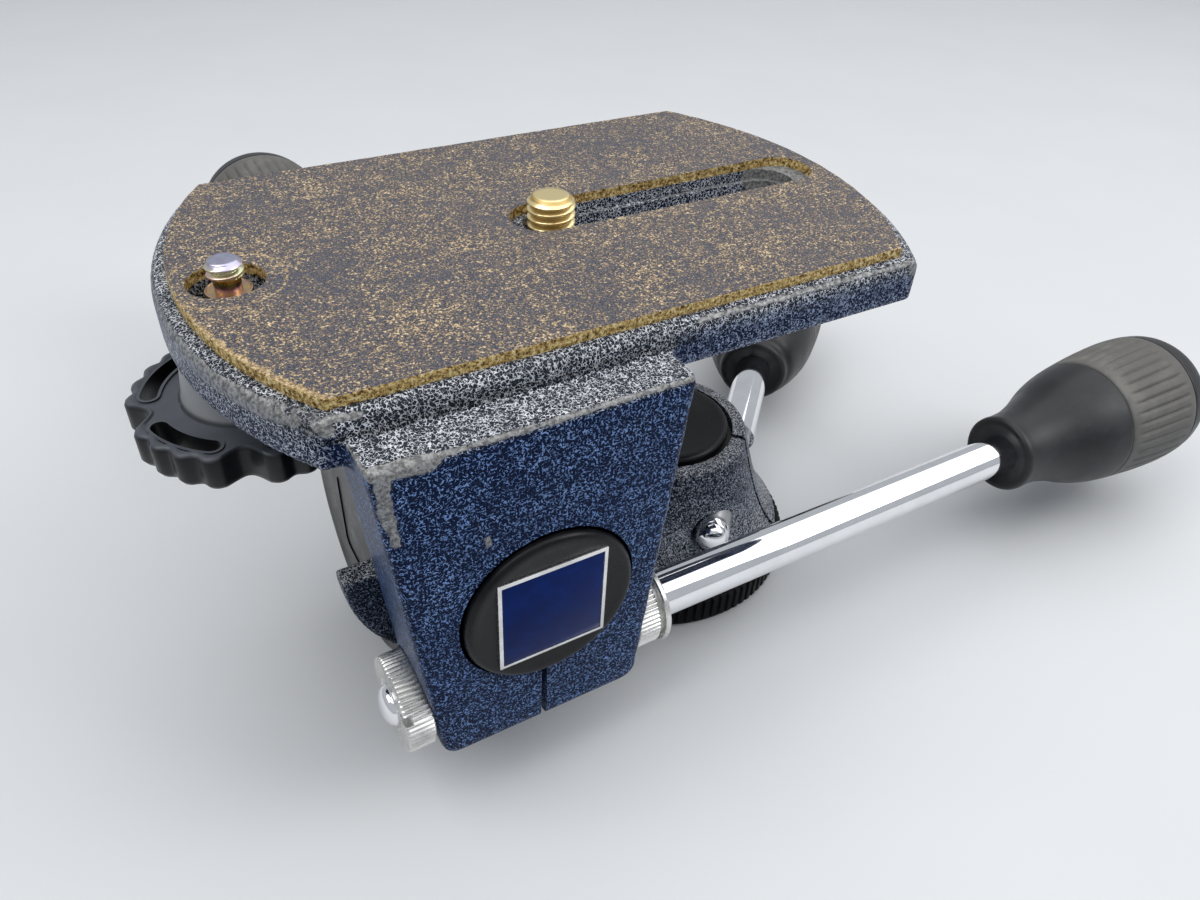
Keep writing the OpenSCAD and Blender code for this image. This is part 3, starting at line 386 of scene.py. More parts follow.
FINISH = {
    # The side colours given here are the painted blue reflection on faces not turned up.
    "hammertone": hammertone("hammertone", 0.95, (0.003, 0.009, 0.036), (0.42, 0.62, 1.0),
                             (0.17, 0.32, 0.70)),
    "grey_hammertone": hammertone("grey_hammertone", 0.8, (0.010, 0.014, 0.024), (0.56, 0.63, 0.74),
                                  (0.30, 0.37, 0.50)),
    "cork_rubber": cork_rubber("cork_rubber"),
    "chrome": metal("chrome", (0.86, 0.87, 0.89), (0.80, 0.81, 0.83), 0.04, 0.08, 0.8, 0.0006),
    "nickel": metal("nickel", (0.78, 0.77, 0.75), (0.56, 0.56, 0.54), 0.24, 0.36),
    "steel": metal("steel", (0.56, 0.56, 0.57), (0.40, 0.40, 0.41), 0.28, 0.42),
    "dark_steel": metal("dark_steel", (0.16, 0.16, 0.17), (0.10, 0.10, 0.11), 0.35, 0.5),
    "brass": threaded("brass", (1.0, 0.82, 0.43), (0.56, 0.41, 0.17), 0.28, 0.5),
    "zinc_plate": iridescent("zinc_plate", pad_low.z - 2, pad_high.z + 3.9),
    "black_rubber": moulding("black_rubber", (0.030, 0.031, 0.034), (0.012, 0.012, 0.014), 0.36, 0.5),
    "grey_rubber": moulding("grey_rubber", (0.19, 0.185, 0.17), (0.12, 0.115, 0.105), 0.5, 0.7, 0.3, 0.03),
    "black_plastic": moulding("black_plastic", (0.012, 0.012, 0.014), (0.005, 0.005, 0.006), 0.24, 0.36,
                              sockets={"Specular IOR Level": 0.2}),
    "bearing_plastic": moulding("bearing_plastic", (0.80, 0.79, 0.74), (0.66, 0.65, 0.60), 0.4, 0.5),
    "black_enamel": enamel("black_enamel", (0.012, 0.012, 0.014), (0.006, 0.006, 0.007), 0.3),
    "blue_enamel": enamel("blue_enamel", (0.004, 0.026, 0.17), (0.003, 0.018, 0.12), 0.10),
    "dust_and_sheen_plastic": dust_and_sheen_plastic("dust_and_sheen_plastic", star_low.z + 7),
    "bright_edge": metal("bright_edge", (0.80, 0.80, 0.80), (0.62, 0.62, 0.62), 0.15, 0.3),
}
SLOT_OF = {row["node"]: row["material_slot"] for row in frame["record"]["subparts"]}

for node_name, node_object in frame["nodes"].items():
    node_object.data.materials.clear()
    node_object.data.materials.append(FINISH[SLOT_OF[node_name]])


# ---- Shapes ----

def lay(bm):
    """A temporary object that holds a shape while it is cut or joined."""
    bmesh.ops.recalc_face_normals(bm, faces=bm.faces[:])
    mesh = bpy.data.meshes.new("work")
    bm.to_mesh(mesh)
    bm.free()
    work = bpy.data.objects.new("work", mesh)
    bpy.context.scene.collection.objects.link(work)
    return work


def settle(work):
    """Applies the modifiers on a temporary object."""
    bpy.context.view_layer.update()
    graph = bpy.context.evaluated_depsgraph_get()
    mesh = bpy.data.meshes.new_from_object(work.evaluated_get(graph))
    work.modifiers.clear()
    work.data = mesh
    return work


def change(work, tools, operation):
    """Joins the tools to a shape, or cuts them out of it."""
    for tool in tools:
        step = work.modifiers.new(operation, "BOOLEAN")
        step.operation = operation
        step.solver = "MANIFOLD"
        step.object = tool
    settle(work)
    for tool in tools:
        bpy.data.objects.remove(tool)
    return work


def cast(work, voxel, rounds):
    """Gives a shape the soft corners and fillets of a sand casting."""
    remesh = work.modifiers.new("cast", "REMESH")
    remesh.mode = "VOXEL"
    remesh.voxel_size = voxel
    soften = work.modifiers.new("soften", "SMOOTH")
    soften.factor = 0.5
    soften.iterations = rounds
    return settle(work)


def finish_piece(name, shape, slot, body, stands_for=(), crease=32, strokes=(), look=None):
    """Names a shape, brings it to metres, gives it its finish and lets it ride on a body."""
    piece = shape if isinstance(shape, bpy.types.Object) else lay(shape)
    piece.name = name
    mesh = piece.data
    mesh.name = name
    if strokes:
        wear_along(mesh, strokes)
    mesh.transform(Matrix.Scale(MM, 4))
    mesh.materials.clear()
    mesh.materials.append(FINISH[look or slot])
    mesh.polygons.foreach_set("use_smooth", [True] * len(mesh.polygons))
    mesh.set_sharp_from_angle(angle=math.radians(crease))
    mesh.update()
    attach(piece, body)
    if stands_for:
        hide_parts(*stands_for)
    return piece


def wear_along(mesh, strokes):
    """Writes the wear attribute: each stroke is (points, reach in mm, strength)."""
    count = len(mesh.vertices)
    places = np.zeros(3 * count)
    mesh.vertices.foreach_get("co", places)
    places = places.reshape(count, 3)
    wear = np.zeros(count)
    for points, reach, strength in strokes:
        for start, end in zip(points, points[1:]):
            start, way = np.array(start, float), np.array(end, float) - np.array(start, float)
            share = np.clip((places - start) @ way / (way @ way), 0, 1)
            away = np.linalg.norm(places - start - share[:, None] * way, axis=1)
            wear = np.maximum(wear, strength * np.clip(1 - away / reach, 0, 1))
    layer = mesh.attributes.new("wear", "FLOAT", "POINT")
    layer.data.foreach_set("value", wear.astype(np.float32))


def turned(profile, steps=96, relief=None):
    """A lathe shape about Z from (radius, height) points; relief moves each point's radius."""
    bm = bmesh.new()
    points = [bm.verts.new((radius, 0, height)) for radius, height in profile]
    edges = [bm.edges.new(pair) for pair in zip(points, points[1:])]
    bmesh.ops.spin(bm, geom=points + edges, cent=(0, 0, 0), axis=(0, 0, 1),
                   angle=math.tau, steps=steps, use_merge=True)
    bmesh.ops.remove_doubles(bm, verts=bm.verts[:], dist=0.0005)
    if relief:
        for vert in bm.verts:
            radius = math.hypot(vert.co.x, vert.co.y)
            if radius > 0.01:
                angle = math.atan2(vert.co.y, vert.co.x)
                share = relief(angle, radius, vert.co.z) / radius
                vert.co.x *= share
                vert.co.y *= share
    bmesh.ops.recalc_face_normals(bm, faces=bm.faces[:])
    return bm


def flowing(points, per_span=5):
    """A smooth line through points, as a Catmull-Rom curve."""
    line = []
    last = len(points) - 1
    for i in range(last):
        a, b = Vector(points[max(i - 1, 0)]), Vector(points[i])
        c, d = Vector(points[i + 1]), Vector(points[min(i + 2, last)])
        for step in range(per_span):
            t = step / per_span
            spot = 0.5 * (2 * b + (c - a) * t + (2 * a - 5 * b + 4 * c - d) * t * t
                          + (3 * b - a - 3 * c + d) * t * t * t)
            line.append(tuple(spot))
    line.append(tuple(points[last]))
    return line


def aimed(bm, origin, along):
    """Turns a shape so that its Z runs along a direction, and moves it to origin."""
    z = Vector(along).normalized()
    upright = abs(z.z) >= 0.99
    x = Vector((1, 0, 0)) if upright else Vector((0, 0, 1)).cross(z).normalized()
    y = z.cross(x)
    turn = Matrix((x, y, z)).transposed().to_4x4()
    bm.transform(Matrix.Translation(origin) @ turn)
    return bm


def extruded(outline, low, high):
    bm = bmesh.new()
    face = bm.faces.new([bm.verts.new((x, y, low)) for x, y in outline])
    grown = bmesh.ops.extrude_face_region(bm, geom=[face])["geom"]
    verts = [item for item in grown if isinstance(item, bmesh.types.BMVert)]
    bmesh.ops.translate(bm, verts=verts, vec=(0, 0, high - low))
    bmesh.ops.recalc_face_normals(bm, faces=bm.faces[:])
    return bm


def soften_edges(bm, edges, width, segments=4):
    bmesh.ops.bevel(bm, geom=edges, offset=width, segments=segments, profile=0.5,
                    affect="EDGES", material=-1, clamp_overlap=True)
    return bm


def flat_edges(bm, height):
    """The edges that lie in the plane z = height."""
    return [edge for edge in bm.edges if all(abs(vert.co.z - height) < 1e-4 for vert in edge.verts)]


def block(low, high, softened=0.0, segments=3):
    bm = bmesh.new()
    bmesh.ops.create_cube(bm, size=1)
    low, high = Vector(low), Vector(high)
    size = high - low
    bm.transform(Matrix.Translation((low + high) / 2) @ Matrix.Diagonal((*size, 1)))
    if softened:
        soften_edges(bm, bm.edges[:], softened, segments)
    return bm


def rod(low, high, radius, steps=96):
    return turned([(0, low), (radius, low), (radius, high), (0, high)], steps)


def along_x(low, high, radius, y, z):
    return lay(aimed(rod(low, high, radius), (0, y, z), (1, 0, 0)))


def along_y(low, high, radius, x, z):
    return lay(aimed(rod(low, high, radius), (x, 0, z), (0, 1, 0)))


def bowed_outline(centre_x, half_l, half_w, end_r, count=40, ragged=0.0):
    """The platform's plan: two straight sides and two bowed ends."""
    points = []
    for side in (1, -1):
        for i in range(count + 1):
            y = side * half_w * (2 * i / count - 1)
            points.append((centre_x + side * (half_l - end_r + math.sqrt(end_r ** 2 - y * y)), y))
        points += straight_run(points[-1], (2 * centre_x - points[-1][0], points[-1][1]), count)
    return roughened(points, ragged)


def straight_run(start, end, count):
    return [(start[0] + (end[0] - start[0]) * i / count, start[1] + (end[1] - start[1]) * i / count)
            for i in range(1, count)]


def slot_outline(x0, x1, y, radius, count=20, ragged=0.0):
    """A slot with round ends; x0 and x1 are the centres of its ends."""
    right = [(x1 + radius * math.sin(math.pi * i / count), y - radius * math.cos(math.pi * i / count))
             for i in range(count + 1)]
    left = [(x0 - radius * math.sin(math.pi * i / count), y + radius * math.cos(math.pi * i / count))
            for i in range(count + 1)]
    top = straight_run(right[-1], left[0], count)
    foot = straight_run(left[-1], right[0], count)
    return roughened(right + top + left + foot, ragged)


KNIFE_SEED = 7
noise.seed_set(KNIFE_SEED)


def roughened(points, reach):
    """Moves the points of a cut edge a little, as a knife leaves it; the same on every run."""
    if not reach:
        return points
    moved = []
    for x, y in points:
        push = noise.noise_vector(Vector((x * 0.35, y * 0.35, 1.7)))
        fine = noise.noise_vector(Vector((x * 1.3, y * 1.3, 5.1)))
        moved.append((x + reach * (push.x + 0.5 * fine.x), y + reach * (push.y + 0.5 * fine.y)))
    return moved


# ---- Platform casting with its arm ----

def arm_block():
    """The arm: a tapered block, round at its foot and along its front edges."""
    bm = bmesh.new()
    bmesh.ops.create_cube(bm, size=1)
    for vert in bm.verts:
        top = vert.co.z > 0
        half = ARM_TOP_HALF if top else ARM_FOOT_HALF
        middle = ARM_TOP_X if top else ARM_FOOT_X
        vert.co = Vector((middle + (half if vert.co.x > 0 else -half),
                          ARM_REAR if vert.co.y > 0 else ARM_FRONT, ARM_TOP if top else ARM_FOOT))
    foot = [edge for edge in bm.edges
            if all(vert.co.z < ARM_FOOT + 1 for vert in edge.verts)
            and abs(edge.verts[0].co.y - edge.verts[1].co.y) > 1]
    soften_edges(bm, foot, 3.1, 6)
    front = [edge for edge in bm.edges if all(abs(vert.co.y - ARM_FRONT) < 1e-4 for vert in edge.verts)]
    return soften_edges(bm, front, 1.3, 4)


def casting_slab():
    outline = bowed_outline(CASTING_X, CASTING_HALF_L, CASTING_HALF_W, CASTING_END_R)
    bm = extruded(outline, CASTING_FOOT, CASTING_TOP)
    soften_edges(bm, flat_edges(bm, CASTING_TOP), 2.1, 4)
    return soften_edges(bm, flat_edges(bm, CASTING_FOOT), 0.5, 2)


def underside_pockets():
    wall, floor, pitch, gap, rib = 3.5, 4.5, 23, 2.6, 9.15
    width = PAD_HALF_W - wall - rib - gap
    middle = (rib + PAD_HALF_W - wall) / 2
    tools = []
    for i in range(-2, 3):
        for side in (-1, 1):
            x = PAD_X + i * pitch
            half = (pitch - gap) / 2
            low = (x - half, side * middle - width / 2, CASTING_FOOT - 2)
            high = (x + half, side * middle + width / 2, CASTING_TOP - floor)
            tools.append(lay(block(low, high)))
    return tools


def platform_casting():
    """Slab and arm in one, with their slots, bores and seats, and worn bare along some edges."""
    bead_r, bead_at, groove_r = 0.95, (-90.6, -43.0, 95.2), 0.8
    slot_r, small_slot_r, ledge_r, ledge_deep = 5.15, 5.7, 6.3, 2.2
    spigot_bore_r, cap_seat_r, cap_seat_deep = 12.1, 17.35, 6.5
    nut_seat_x, nut_seat_r, collar_seat_r = -82.4, 10, 9.5
    work = change(lay(casting_slab()), underside_pockets(), "DIFFERENCE")
    work = change(work, [lay(arm_block())], "UNION")
    bead = bmesh.new()
    bmesh.ops.create_icosphere(bead, subdivisions=3, radius=bead_r)
    bead.transform(Matrix.Translation(bead_at))
    work = change(cast(work, 0.8, 3), [lay(bead)], "UNION")
    axis_x, axis_z = tilt_axis.x, tilt_axis.z
    slot = extruded(slot_outline(large_screw.x, large_screw.x + TRAVEL + 0.6, large_screw.y, slot_r),
                    CASTING_FOOT - 1, CASTING_TOP + 1)
    small = extruded(slot_outline(small_screw.x - SMALL_TRAVEL, small_screw.x + SMALL_TRAVEL,
                                  small_screw.y, small_slot_r), CASTING_FOOT - 1, CASTING_TOP + 1)
    slit = block((axis_x - 0.8 - SLIT_W / 2, ARM_FRONT - 1, 0),
                 (axis_x - 0.8 + SLIT_W / 2, ARM_REAR + 1, axis_z))
    ledge = extruded(slot_outline(large_screw.x + 0.8, large_screw.x + TRAVEL + 0.4, large_screw.y, ledge_r),
                     CASTING_TOP - ledge_deep, CASTING_TOP + 1)
    tools = [
        lay(slot), lay(ledge), lay(small), lay(slit),
        along_y(ARM_FRONT - 1, ARM_REAR + 1, spigot_bore_r, axis_x, axis_z),
        along_y(ARM_FRONT - 1, ARM_FRONT + cap_seat_deep, cap_seat_r, axis_x, axis_z),
        along_x(-120, 0, BOLT_R + 0.1, tilt_lock.y, tilt_lock.z),
        along_x(nut_seat_x - 10, nut_seat_x, nut_seat_r, tilt_lock.y, tilt_lock.z),
        along_x(tilt_lock.x, tilt_lock.x + 10, collar_seat_r, tilt_lock.y, tilt_lock.z),
        along_x(-93.5, ARM_TOP_X + ARM_TOP_HALF + 6, groove_r, -CASTING_HALF_W - 0.15, ARM_TOP + 0.75),
    ]
    work = change(work, tools, "DIFFERENCE")
    left, right = ARM_TOP_X - ARM_TOP_HALF, ARM_TOP_X + ARM_TOP_HALF
    front, top = ARM_FRONT + 0.3, ARM_TOP - 0.3
    rim, low_rim = CASTING_TOP - 0.7, CASTING_TOP - 1.9
    far = large_screw.x + TRAVEL + 5.5
    strokes = [
        ([(left + 0.5, front, top), (right - 0.5, front, top)], 1.35, 0.98),
        ([(left + 1, front, top), (left + 9.5, front, top - 0.8)], 2.7, 1.3),
        ([(left + 2.3, front, 92), (left + 2.2, front, 87), (-86.3, front, 84)], 2.2, 1.25),
        ([(-86.3, front, 84), (-85.6, front, 79.2)], 1.6, 1.15),
        ([(left + 0.3, front + 1, top), (left + 0.3, ARM_REAR - 6, top)], 1.0, 0.9),
        ([(-71.1, ARM_FRONT, 73.9), (-70.7, ARM_FRONT, 72.6)], 1.0, 1.3),
        ([(-72.2, ARM_FRONT, 77.7), (-72.0, ARM_FRONT, 77.2)], 0.8, 1.1),
        ([(-105.9, 20, low_rim), (-106.2, 8, low_rim), (-105.9, -8, low_rim), (-102.8, -23, low_rim),
          (-97.8, -33, low_rim), (-91.2, -42.6, low_rim)], 2.5, 1.45),
        ([(-97.4, -33, rim), (-91.0, -42.4, rim), (-86, -43, rim)], 1.5, 0.9),
        ([(-90.6, -42.2, rim), (-80, -42.9, rim), (-26, -42.9, rim)], 1.2, 0.5),
        ([(-26, -42.9, rim), (0, -42.9, rim), (25, -42.9, rim)], 1.6, 0.8),
        ([(33.0, -20, low_rim), (29.0, -36, low_rim), (26.0, -42, low_rim), (24, -43, low_rim)], 2.4, 1.3),
        ([(far, large_screw.y - 5, 96), (far, large_screw.y + 5, 96)], 9, 2.2),
        ([(far + 1, large_screw.y - 5, 89), (far + 1, large_screw.y + 5, 89)], 7, 2.2),
    ]
    return finish_piece("platform_casting", work, "hammertone", "platform", ["platform"], 40, strokes)


platform_casting()


def cork_top():
    """The pad, cut by hand: its edges wander a little, and are rounded at the top."""
    outline = bowed_outline(PAD_X, PAD_HALF_L - 0.15, PAD_HALF_W - 0.15, PAD_END_R, 60, 0.16)
    bm = extruded(outline, pad_low.z + 0.02, pad_high.z)
    soften_edges(bm, flat_edges(bm, pad_high.z), 0.3, 2)
    slot = slot_outline(large_screw.x - 1.9, large_screw.x + TRAVEL + 4.7, large_screw.y, 6.5, 24, 0.16)
    small = slot_outline(small_screw.x - 0.7, small_screw.x + 0.3, small_screw.y, 6.1, 24, 0.12)
    tools = [lay(extruded(outline, pad_low.z - 1, pad_high.z + 1)) for outline in (slot, small)]
    work = change(lay(bm), tools, "DIFFERENCE")
    return finish_piece("cork_top", work, "cork_rubber", "platform", ["cork_pad"], 40)


cork_top()


# ---- Caps ----

def cap_profile(radius, thickness):
    """A shallow moulded cap: its face at height 0, dished a little inside a round lip."""
    lip, dish = 1.2, 0.35
    rim = [(radius - lip + lip * math.sin(a), lip * math.cos(a) - lip)
           for a in (math.radians(9 * i) for i in range(11))]
    return [(0, -dish), (radius - lip - 2.2, -dish), (radius - lip - 1.0, -0.1), *rim,
            (radius, -thickness), (0, -thickness)]


def front_cap():
    face_y = front_cap_low.y
    centre = (tilt_axis.x, face_y, tilt_axis.z)
    bm = aimed(turned(cap_profile(16.75, 3.4), 128), centre, (0, -1, 0))
    seat = rod(-4.4, -2.9, 17.25, 128)
    ring = lay(aimed(seat, centre, (0, -1, 0)))
    work = change(lay(bm), [ring], "UNION")
    return finish_piece("front_cap_moulding", work, "black_plastic", "platform", ["front_cap"])


def badge():
    """A bare square plate: a bright frame round plain dark blue enamel."""
    border, sunk = 0.75, 0.25
    low = Vector((badge_low.x, badge_low.y, badge_low.z))
    high = Vector((badge_high.x, badge_high.y + 0.1, badge_high.z))
    plate = lay(block(low, high, 0.18, 2))
    inner_low = Vector((low.x + border, low.y - 1, low.z + border))
    inner_high = Vector((high.x - border, low.y + sunk, high.z - border))
    plate = change(plate, [lay(block(inner_low, inner_high))], "DIFFERENCE")
    finish_piece("badge_frame", plate, "blue_enamel", "platform", ["badge_plate"], look="bright_edge")
    inner_low.y = low.y + sunk - 0.12
    face = block(inner_low + Vector((0.05, 0, 0.05)), inner_high + Vector((-0.05, 0.1, -0.05)), 0.06, 2)
    return finish_piece("badge_enamel", face, "blue_enamel", "platform")


front_cap()
badge()


def side_cap():
    """The big cap on the clamp ring, with a square hollow in its face."""
    centre = (side_cap_low.x, side_axis.y, side_axis.z)
    radius = (side_cap_high.z - side_cap_low.z) / 2
    bm = aimed(turned(cap_profile(radius, 2.9), 144), centre, (-1, 0, 0))
    half = 10.75
    hollow = block((centre[0] - 1, -half, side_axis.z - half),
                   (centre[0] + 0.65, half, side_axis.z + half))
    corners = [edge for edge in hollow.edges
               if abs(edge.verts[0].co.x - edge.verts[1].co.x) > 0.5]
    soften_edges(hollow, corners, 2.5, 6)
    work = change(lay(bm), [lay(hollow)], "DIFFERENCE")
    return finish_piece("side_cap_moulding", work, "black_plastic", "tilt_frame", ["side_cap"])


def pan_cap():
    bm = turned(cap_profile(16.75, 3.0), 128)
    bm = aimed(bm, (0, 0, pan_cap_high.z), (0, 0, 1))
    skirt = lay(aimed(rod(-4.6, -2.6, 17.9, 128), (0, 0, pan_cap_high.z), (0, 0, 1)))
    work = change(lay(bm), [skirt], "UNION")
    return finish_piece("pan_cap_moulding", work, "black_plastic", "pan_body", ["pan_cap"])


side_cap()
pan_cap()


# ---- Pan housing, base and tilt body ----

def pan_housing():
    """The cone with its split clamp ring, and the boss that carries the side tilt axle."""
    ring_r, skirt_r, rim, top = 21.3, 32.75, 9.6, 38
    spindle_bore_r, cap_seat_r, foot_recess_r, axle_bore_r, boss_r = 13.05, 17.95, 25.3, 12.05, 21
    bolt_off, nut_seat, nut_seat_r, rod_seat_r = 18, 18.9, 4.75, 5.7
    drop = top - rim
    flank = skirt_r - ring_r
    side = flowing([(skirt_r, rim + 0.07 * drop), (skirt_r - 0.12 * flank, rim + 0.11 * drop),
                    (skirt_r - 0.36 * flank, rim + 0.25 * drop), (skirt_r - 0.62 * flank, rim + 0.48 * drop),
                    (skirt_r - 0.83 * flank, rim + 0.74 * drop), (ring_r + 0.3, top - 1.6)])
    profile = [(0, rim), (skirt_r, rim), *side, (ring_r, top - 0.4), (ring_r - 0.4, top), (0, top)]
    work = lay(turned(profile, 144))
    boss = along_x(-36, -17, boss_r, 0, side_axis.z)
    work = cast(change(work, [boss], "UNION"), 0.6, 4)
    way = pan_lock_way
    slit = block((-SLIT_W / 2, -60, rim - 1), (SLIT_W / 2, 0, 50))
    slit.transform(Matrix.Rotation(math.atan2(way.y, way.x), 4, "Z"))
    bolt_line = pan_lock_across * bolt_off + Vector((0, 0, pan_lock.z))
    tools = [
        lay(rod(rim - 1, 45, spindle_bore_r)),
        lay(rod(31, 60, cap_seat_r)),
        lay(rod(rim - 1, 12.2, foot_recess_r)),
        lay(slit),
        along_x(-37, -17, axle_bore_r, 0, side_axis.z),
        lay(aimed(rod(-60, 60, BOLT_R + 0.05), bolt_line, way)),
        lay(aimed(rod(-60, -nut_seat, nut_seat_r), bolt_line, way)),
        lay(aimed(rod(20, 60, rod_seat_r), bolt_line, way)),
    ]
    work = change(work, tools, "DIFFERENCE")
    ring = [(ring_r * math.cos(a), ring_r * math.sin(a), top - 0.3)
            for a in (math.radians(10 * i) for i in range(37))]
    return finish_piece("pan_housing_casting", work, "hammertone", "pan_body", ["pan_housing"], 36,
                        [(ring, 0.9, 0.62)], "grey_hammertone")


def tilt_body():
    """The clamp ring, its lug and the stop flange, in one casting."""
    left, right, ring_r, axle_bore_r, cap_seat_r = -77.0, -37.0, 26, 12.05, 19
    lug_half, lug_rear, lug_top = 12.5, 26, 60
    flange_front, boss_r, flange_r, spigot_r = -32, 17, 31, 12.05
    ring = turned([(0, left), (ring_r - 1, left), (ring_r, left + 1), (ring_r, right - 1),
                   (ring_r - 1, right), (0, right)], 144)
    work = lay(aimed(ring, (0, 0, side_axis.z), (1, 0, 0)))
    lug = block((tilt_axis.x - lug_half, -20, side_axis.z), (tilt_axis.x + lug_half, lug_rear, lug_top))
    top = [edge for edge in lug.edges if all(vert.co.z > lug_top - 1 for vert in edge.verts)]
    soften_edges(lug, top, 2.5, 4)
    boss = along_y(flange_front, -8, boss_r, tilt_axis.x, tilt_axis.z)
    flange = along_y(flange_front, flange_front + 5, flange_r, tilt_axis.x, tilt_axis.z)
    cutter = lay(block((-120, -40, tilt_axis.z), (0, -20, 120)))
    flange = change(flange, [cutter], "DIFFERENCE")
    work = cast(change(work, [lay(lug), boss, flange], "UNION"), 0.62, 4)
    tools = [
        along_x(left - 1, right + 1, axle_bore_r, 0, side_axis.z),
        along_x(left - 1, left + 5, cap_seat_r, 0, side_axis.z),
        lay(block((left - 1, -SLIT_W / 2, side_axis.z), (right + 1, SLIT_W / 2, 70))),
        along_y(-10.6, lug_rear + 1, BOLT_R + 0.05, side_lock.x, side_lock.z),
        along_y(flange_front - 1, -15, spigot_r, tilt_axis.x, tilt_axis.z),
    ]
    work = change(work, tools, "DIFFERENCE")
    worn_r = flange_r - 0.4
    edge = [(tilt_axis.x + worn_r * math.cos(a), flange_front + 0.2, tilt_axis.z + worn_r * math.sin(a))
            for a in (math.radians(180 + 10 * i) for i in range(19))]
    return finish_piece("tilt_body_casting", work, "hammertone", "tilt_frame", ["tilt_body"], 36,
                        [(edge, 0.9, 0.6)], "grey_hammertone")


def base_disc():
    """The ribbed disc that stands on the tripod."""
    radius = (base_high.x - base_low.x) / 2
    top = base_high.z
    profile = [(9.1, 0), (radius - 1.4, 0), (radius - 0.9, 0.3), (radius - 0.7, 1.0), (radius - 0.05, 1.5),
               (radius, 2.0), (radius, top - 2.0), (radius - 0.05, top - 1.5), (radius - 0.7, top - 1.0),
               (radius - 0.9, top - 0.3), (radius - 1.4, top), (9.1, top), (9.1, 0)]
    ribs = 96

    def relief(angle, at, height):
        if at < radius - 0.6:
            return at
        return at - 0.6 * max(0.0, math.cos(ribs * angle)) ** 0.5

    return finish_piece("base_ribbed_disc", turned(profile, ribs * 8, relief), "black_enamel", "base",
                        ["base_disc"])


pan_housing()
tilt_body()
base_disc()


def dome(radius, foot, rise):
    """The profile of a dome, from the edge of its foot to its top on the axis."""
    turns = [math.radians(7.5 * i) for i in range(12)]
    return [(radius * math.cos(a), foot + rise * math.sin(a)) for a in turns] + [(0, foot + rise)]


def dome_nut():
    profile = [(0, 0), (4.35, 0), (4.35, 1.3), (4.2, 1.7), *dome(4.05, 1.8, 3.25)]
    origin = pan_lock_across * 18 - pan_lock_way * 18.9 + Vector((0, 0, pan_lock.z))
    return finish_piece("dome_nut_polished", aimed(turned(profile, 64), origin, -pan_lock_way), "chrome",
                        "pan_body", ["dome_nut"])


dome_nut()


# ---- Handles ----

GRIP_R = 18.25
MOUTH_R = 10
BELL = 18
BAND = 25
ROUND_END = 13


def handle_grip(name, origin, way, neck, body, node):
    """A soft rubber grip: lip, neck, bell, a seat for the band and a rounded end."""
    swell = GRIP_R - MOUTH_R
    start, stop = neck + BELL, neck + BELL + BAND
    outside = flowing([
        (MOUTH_R, 1.6), (MOUTH_R - 0.1, 0.26 * neck + 0.8), (MOUTH_R + 0.04 * swell, 0.62 * neck + 0.7),
        (MOUTH_R + 0.24 * swell, neck + 0.08 * BELL), (MOUTH_R + 0.55 * swell, neck + 0.44 * BELL),
        (MOUTH_R + 0.72 * swell, neck + 0.72 * BELL), (GRIP_R - 1.5, start - 0.35)])
    tail = flowing([
        (GRIP_R - 0.3, stop + 0.5), (GRIP_R - 1.25, stop + 5), (GRIP_R - 3.75, stop + 9),
        (GRIP_R - 7.25, stop + 11.5), (GRIP_R - 11.25, stop + 12.6), (0, stop + ROUND_END)])
    lip = [(ROD_R + 0.02, 3), (ROD_R + 0.02, 1.3), (ROD_R + 1.0, 0.9), (MOUTH_R - 2.2, 0.35),
           (MOUTH_R - 1.2, 0.0), (MOUTH_R - 0.5, 0.25), (MOUTH_R - 0.1, 0.8)]
    profile = [(0, 3), *lip, *outside, (GRIP_R - 1.75, start), (GRIP_R - 2.6, start + 0.1),
               (GRIP_R - 2.6, stop - 0.1), (GRIP_R - 0.7, stop), (GRIP_R - 0.35, stop + 0.15), *tail]
    return finish_piece(name, aimed(turned(profile, 128), origin, way), "black_rubber", body, [node], 50)


def handle_band(name, origin, way, neck, body, node):
    """The grey band: fine ribs that run along it and fade before its ends."""
    ribs, depth = 38, 0.55
    start = neck + BELL + 0.1
    length = BAND - 0.2
    swell = flowing([(GRIP_R - 1.4, 0.35), (GRIP_R - 0.72, 0.26 * length), (GRIP_R - 0.22, 0.52 * length),
                     (GRIP_R + 0.02, 0.8 * length), (GRIP_R - 0.22, length - 0.3)], 6)
    profile = [(GRIP_R - 3.0, 0), (GRIP_R - 1.7, 0), *swell, (GRIP_R - 0.55, length), (GRIP_R - 3.0, length),
               (GRIP_R - 3.0, 0)]

    def relief(angle, at, height):
        if at < GRIP_R - 2:
            return at
        fade = min(1.0, max(0.0, (height - 2.0) / 1.6)) * min(1.0, max(0.0, (length - 2.4 - height) / 1.2))
        groove = max(0.0, math.cos(ribs * angle)) ** 1.8
        return at - depth * fade * groove

    bm = aimed(turned(profile, ribs * 8, relief), Vector(origin) + Vector(way) * start, way)
    return finish_piece(name, bm, "grey_rubber", body, [node], 60)


def handle(prefix, origin, way, bare, neck, body):
    mouth = Vector(origin) + Vector(way) * bare
    handle_grip(prefix + "_grip_rubber", mouth, way, neck, body, prefix + "_grip")
    handle_band(prefix + "_band_rubber", mouth, way, neck, body, prefix + "_band")


handle("tilt_handle", tilt_lock, (1, 0, 0), 115.5, 14, "tilt_handle")
handle("side_handle", side_lock, (0, 1, 0), 52, 14, "side_handle")
handle("pan_handle", pan_lock, pan_lock_way, 34, 4, "pan_handle")


def knurl(count, depth, radius, reach=0.25, power=1.4, top=math.inf):
    """Relief of a straight knurl on the outer reach mm of a rim, up to the height top."""
    def relief(angle, at, height):
        if at < radius - reach or height > top:
            return at
        return at - depth * (0.5 + 0.5 * math.cos(count * angle)) ** power
    return relief


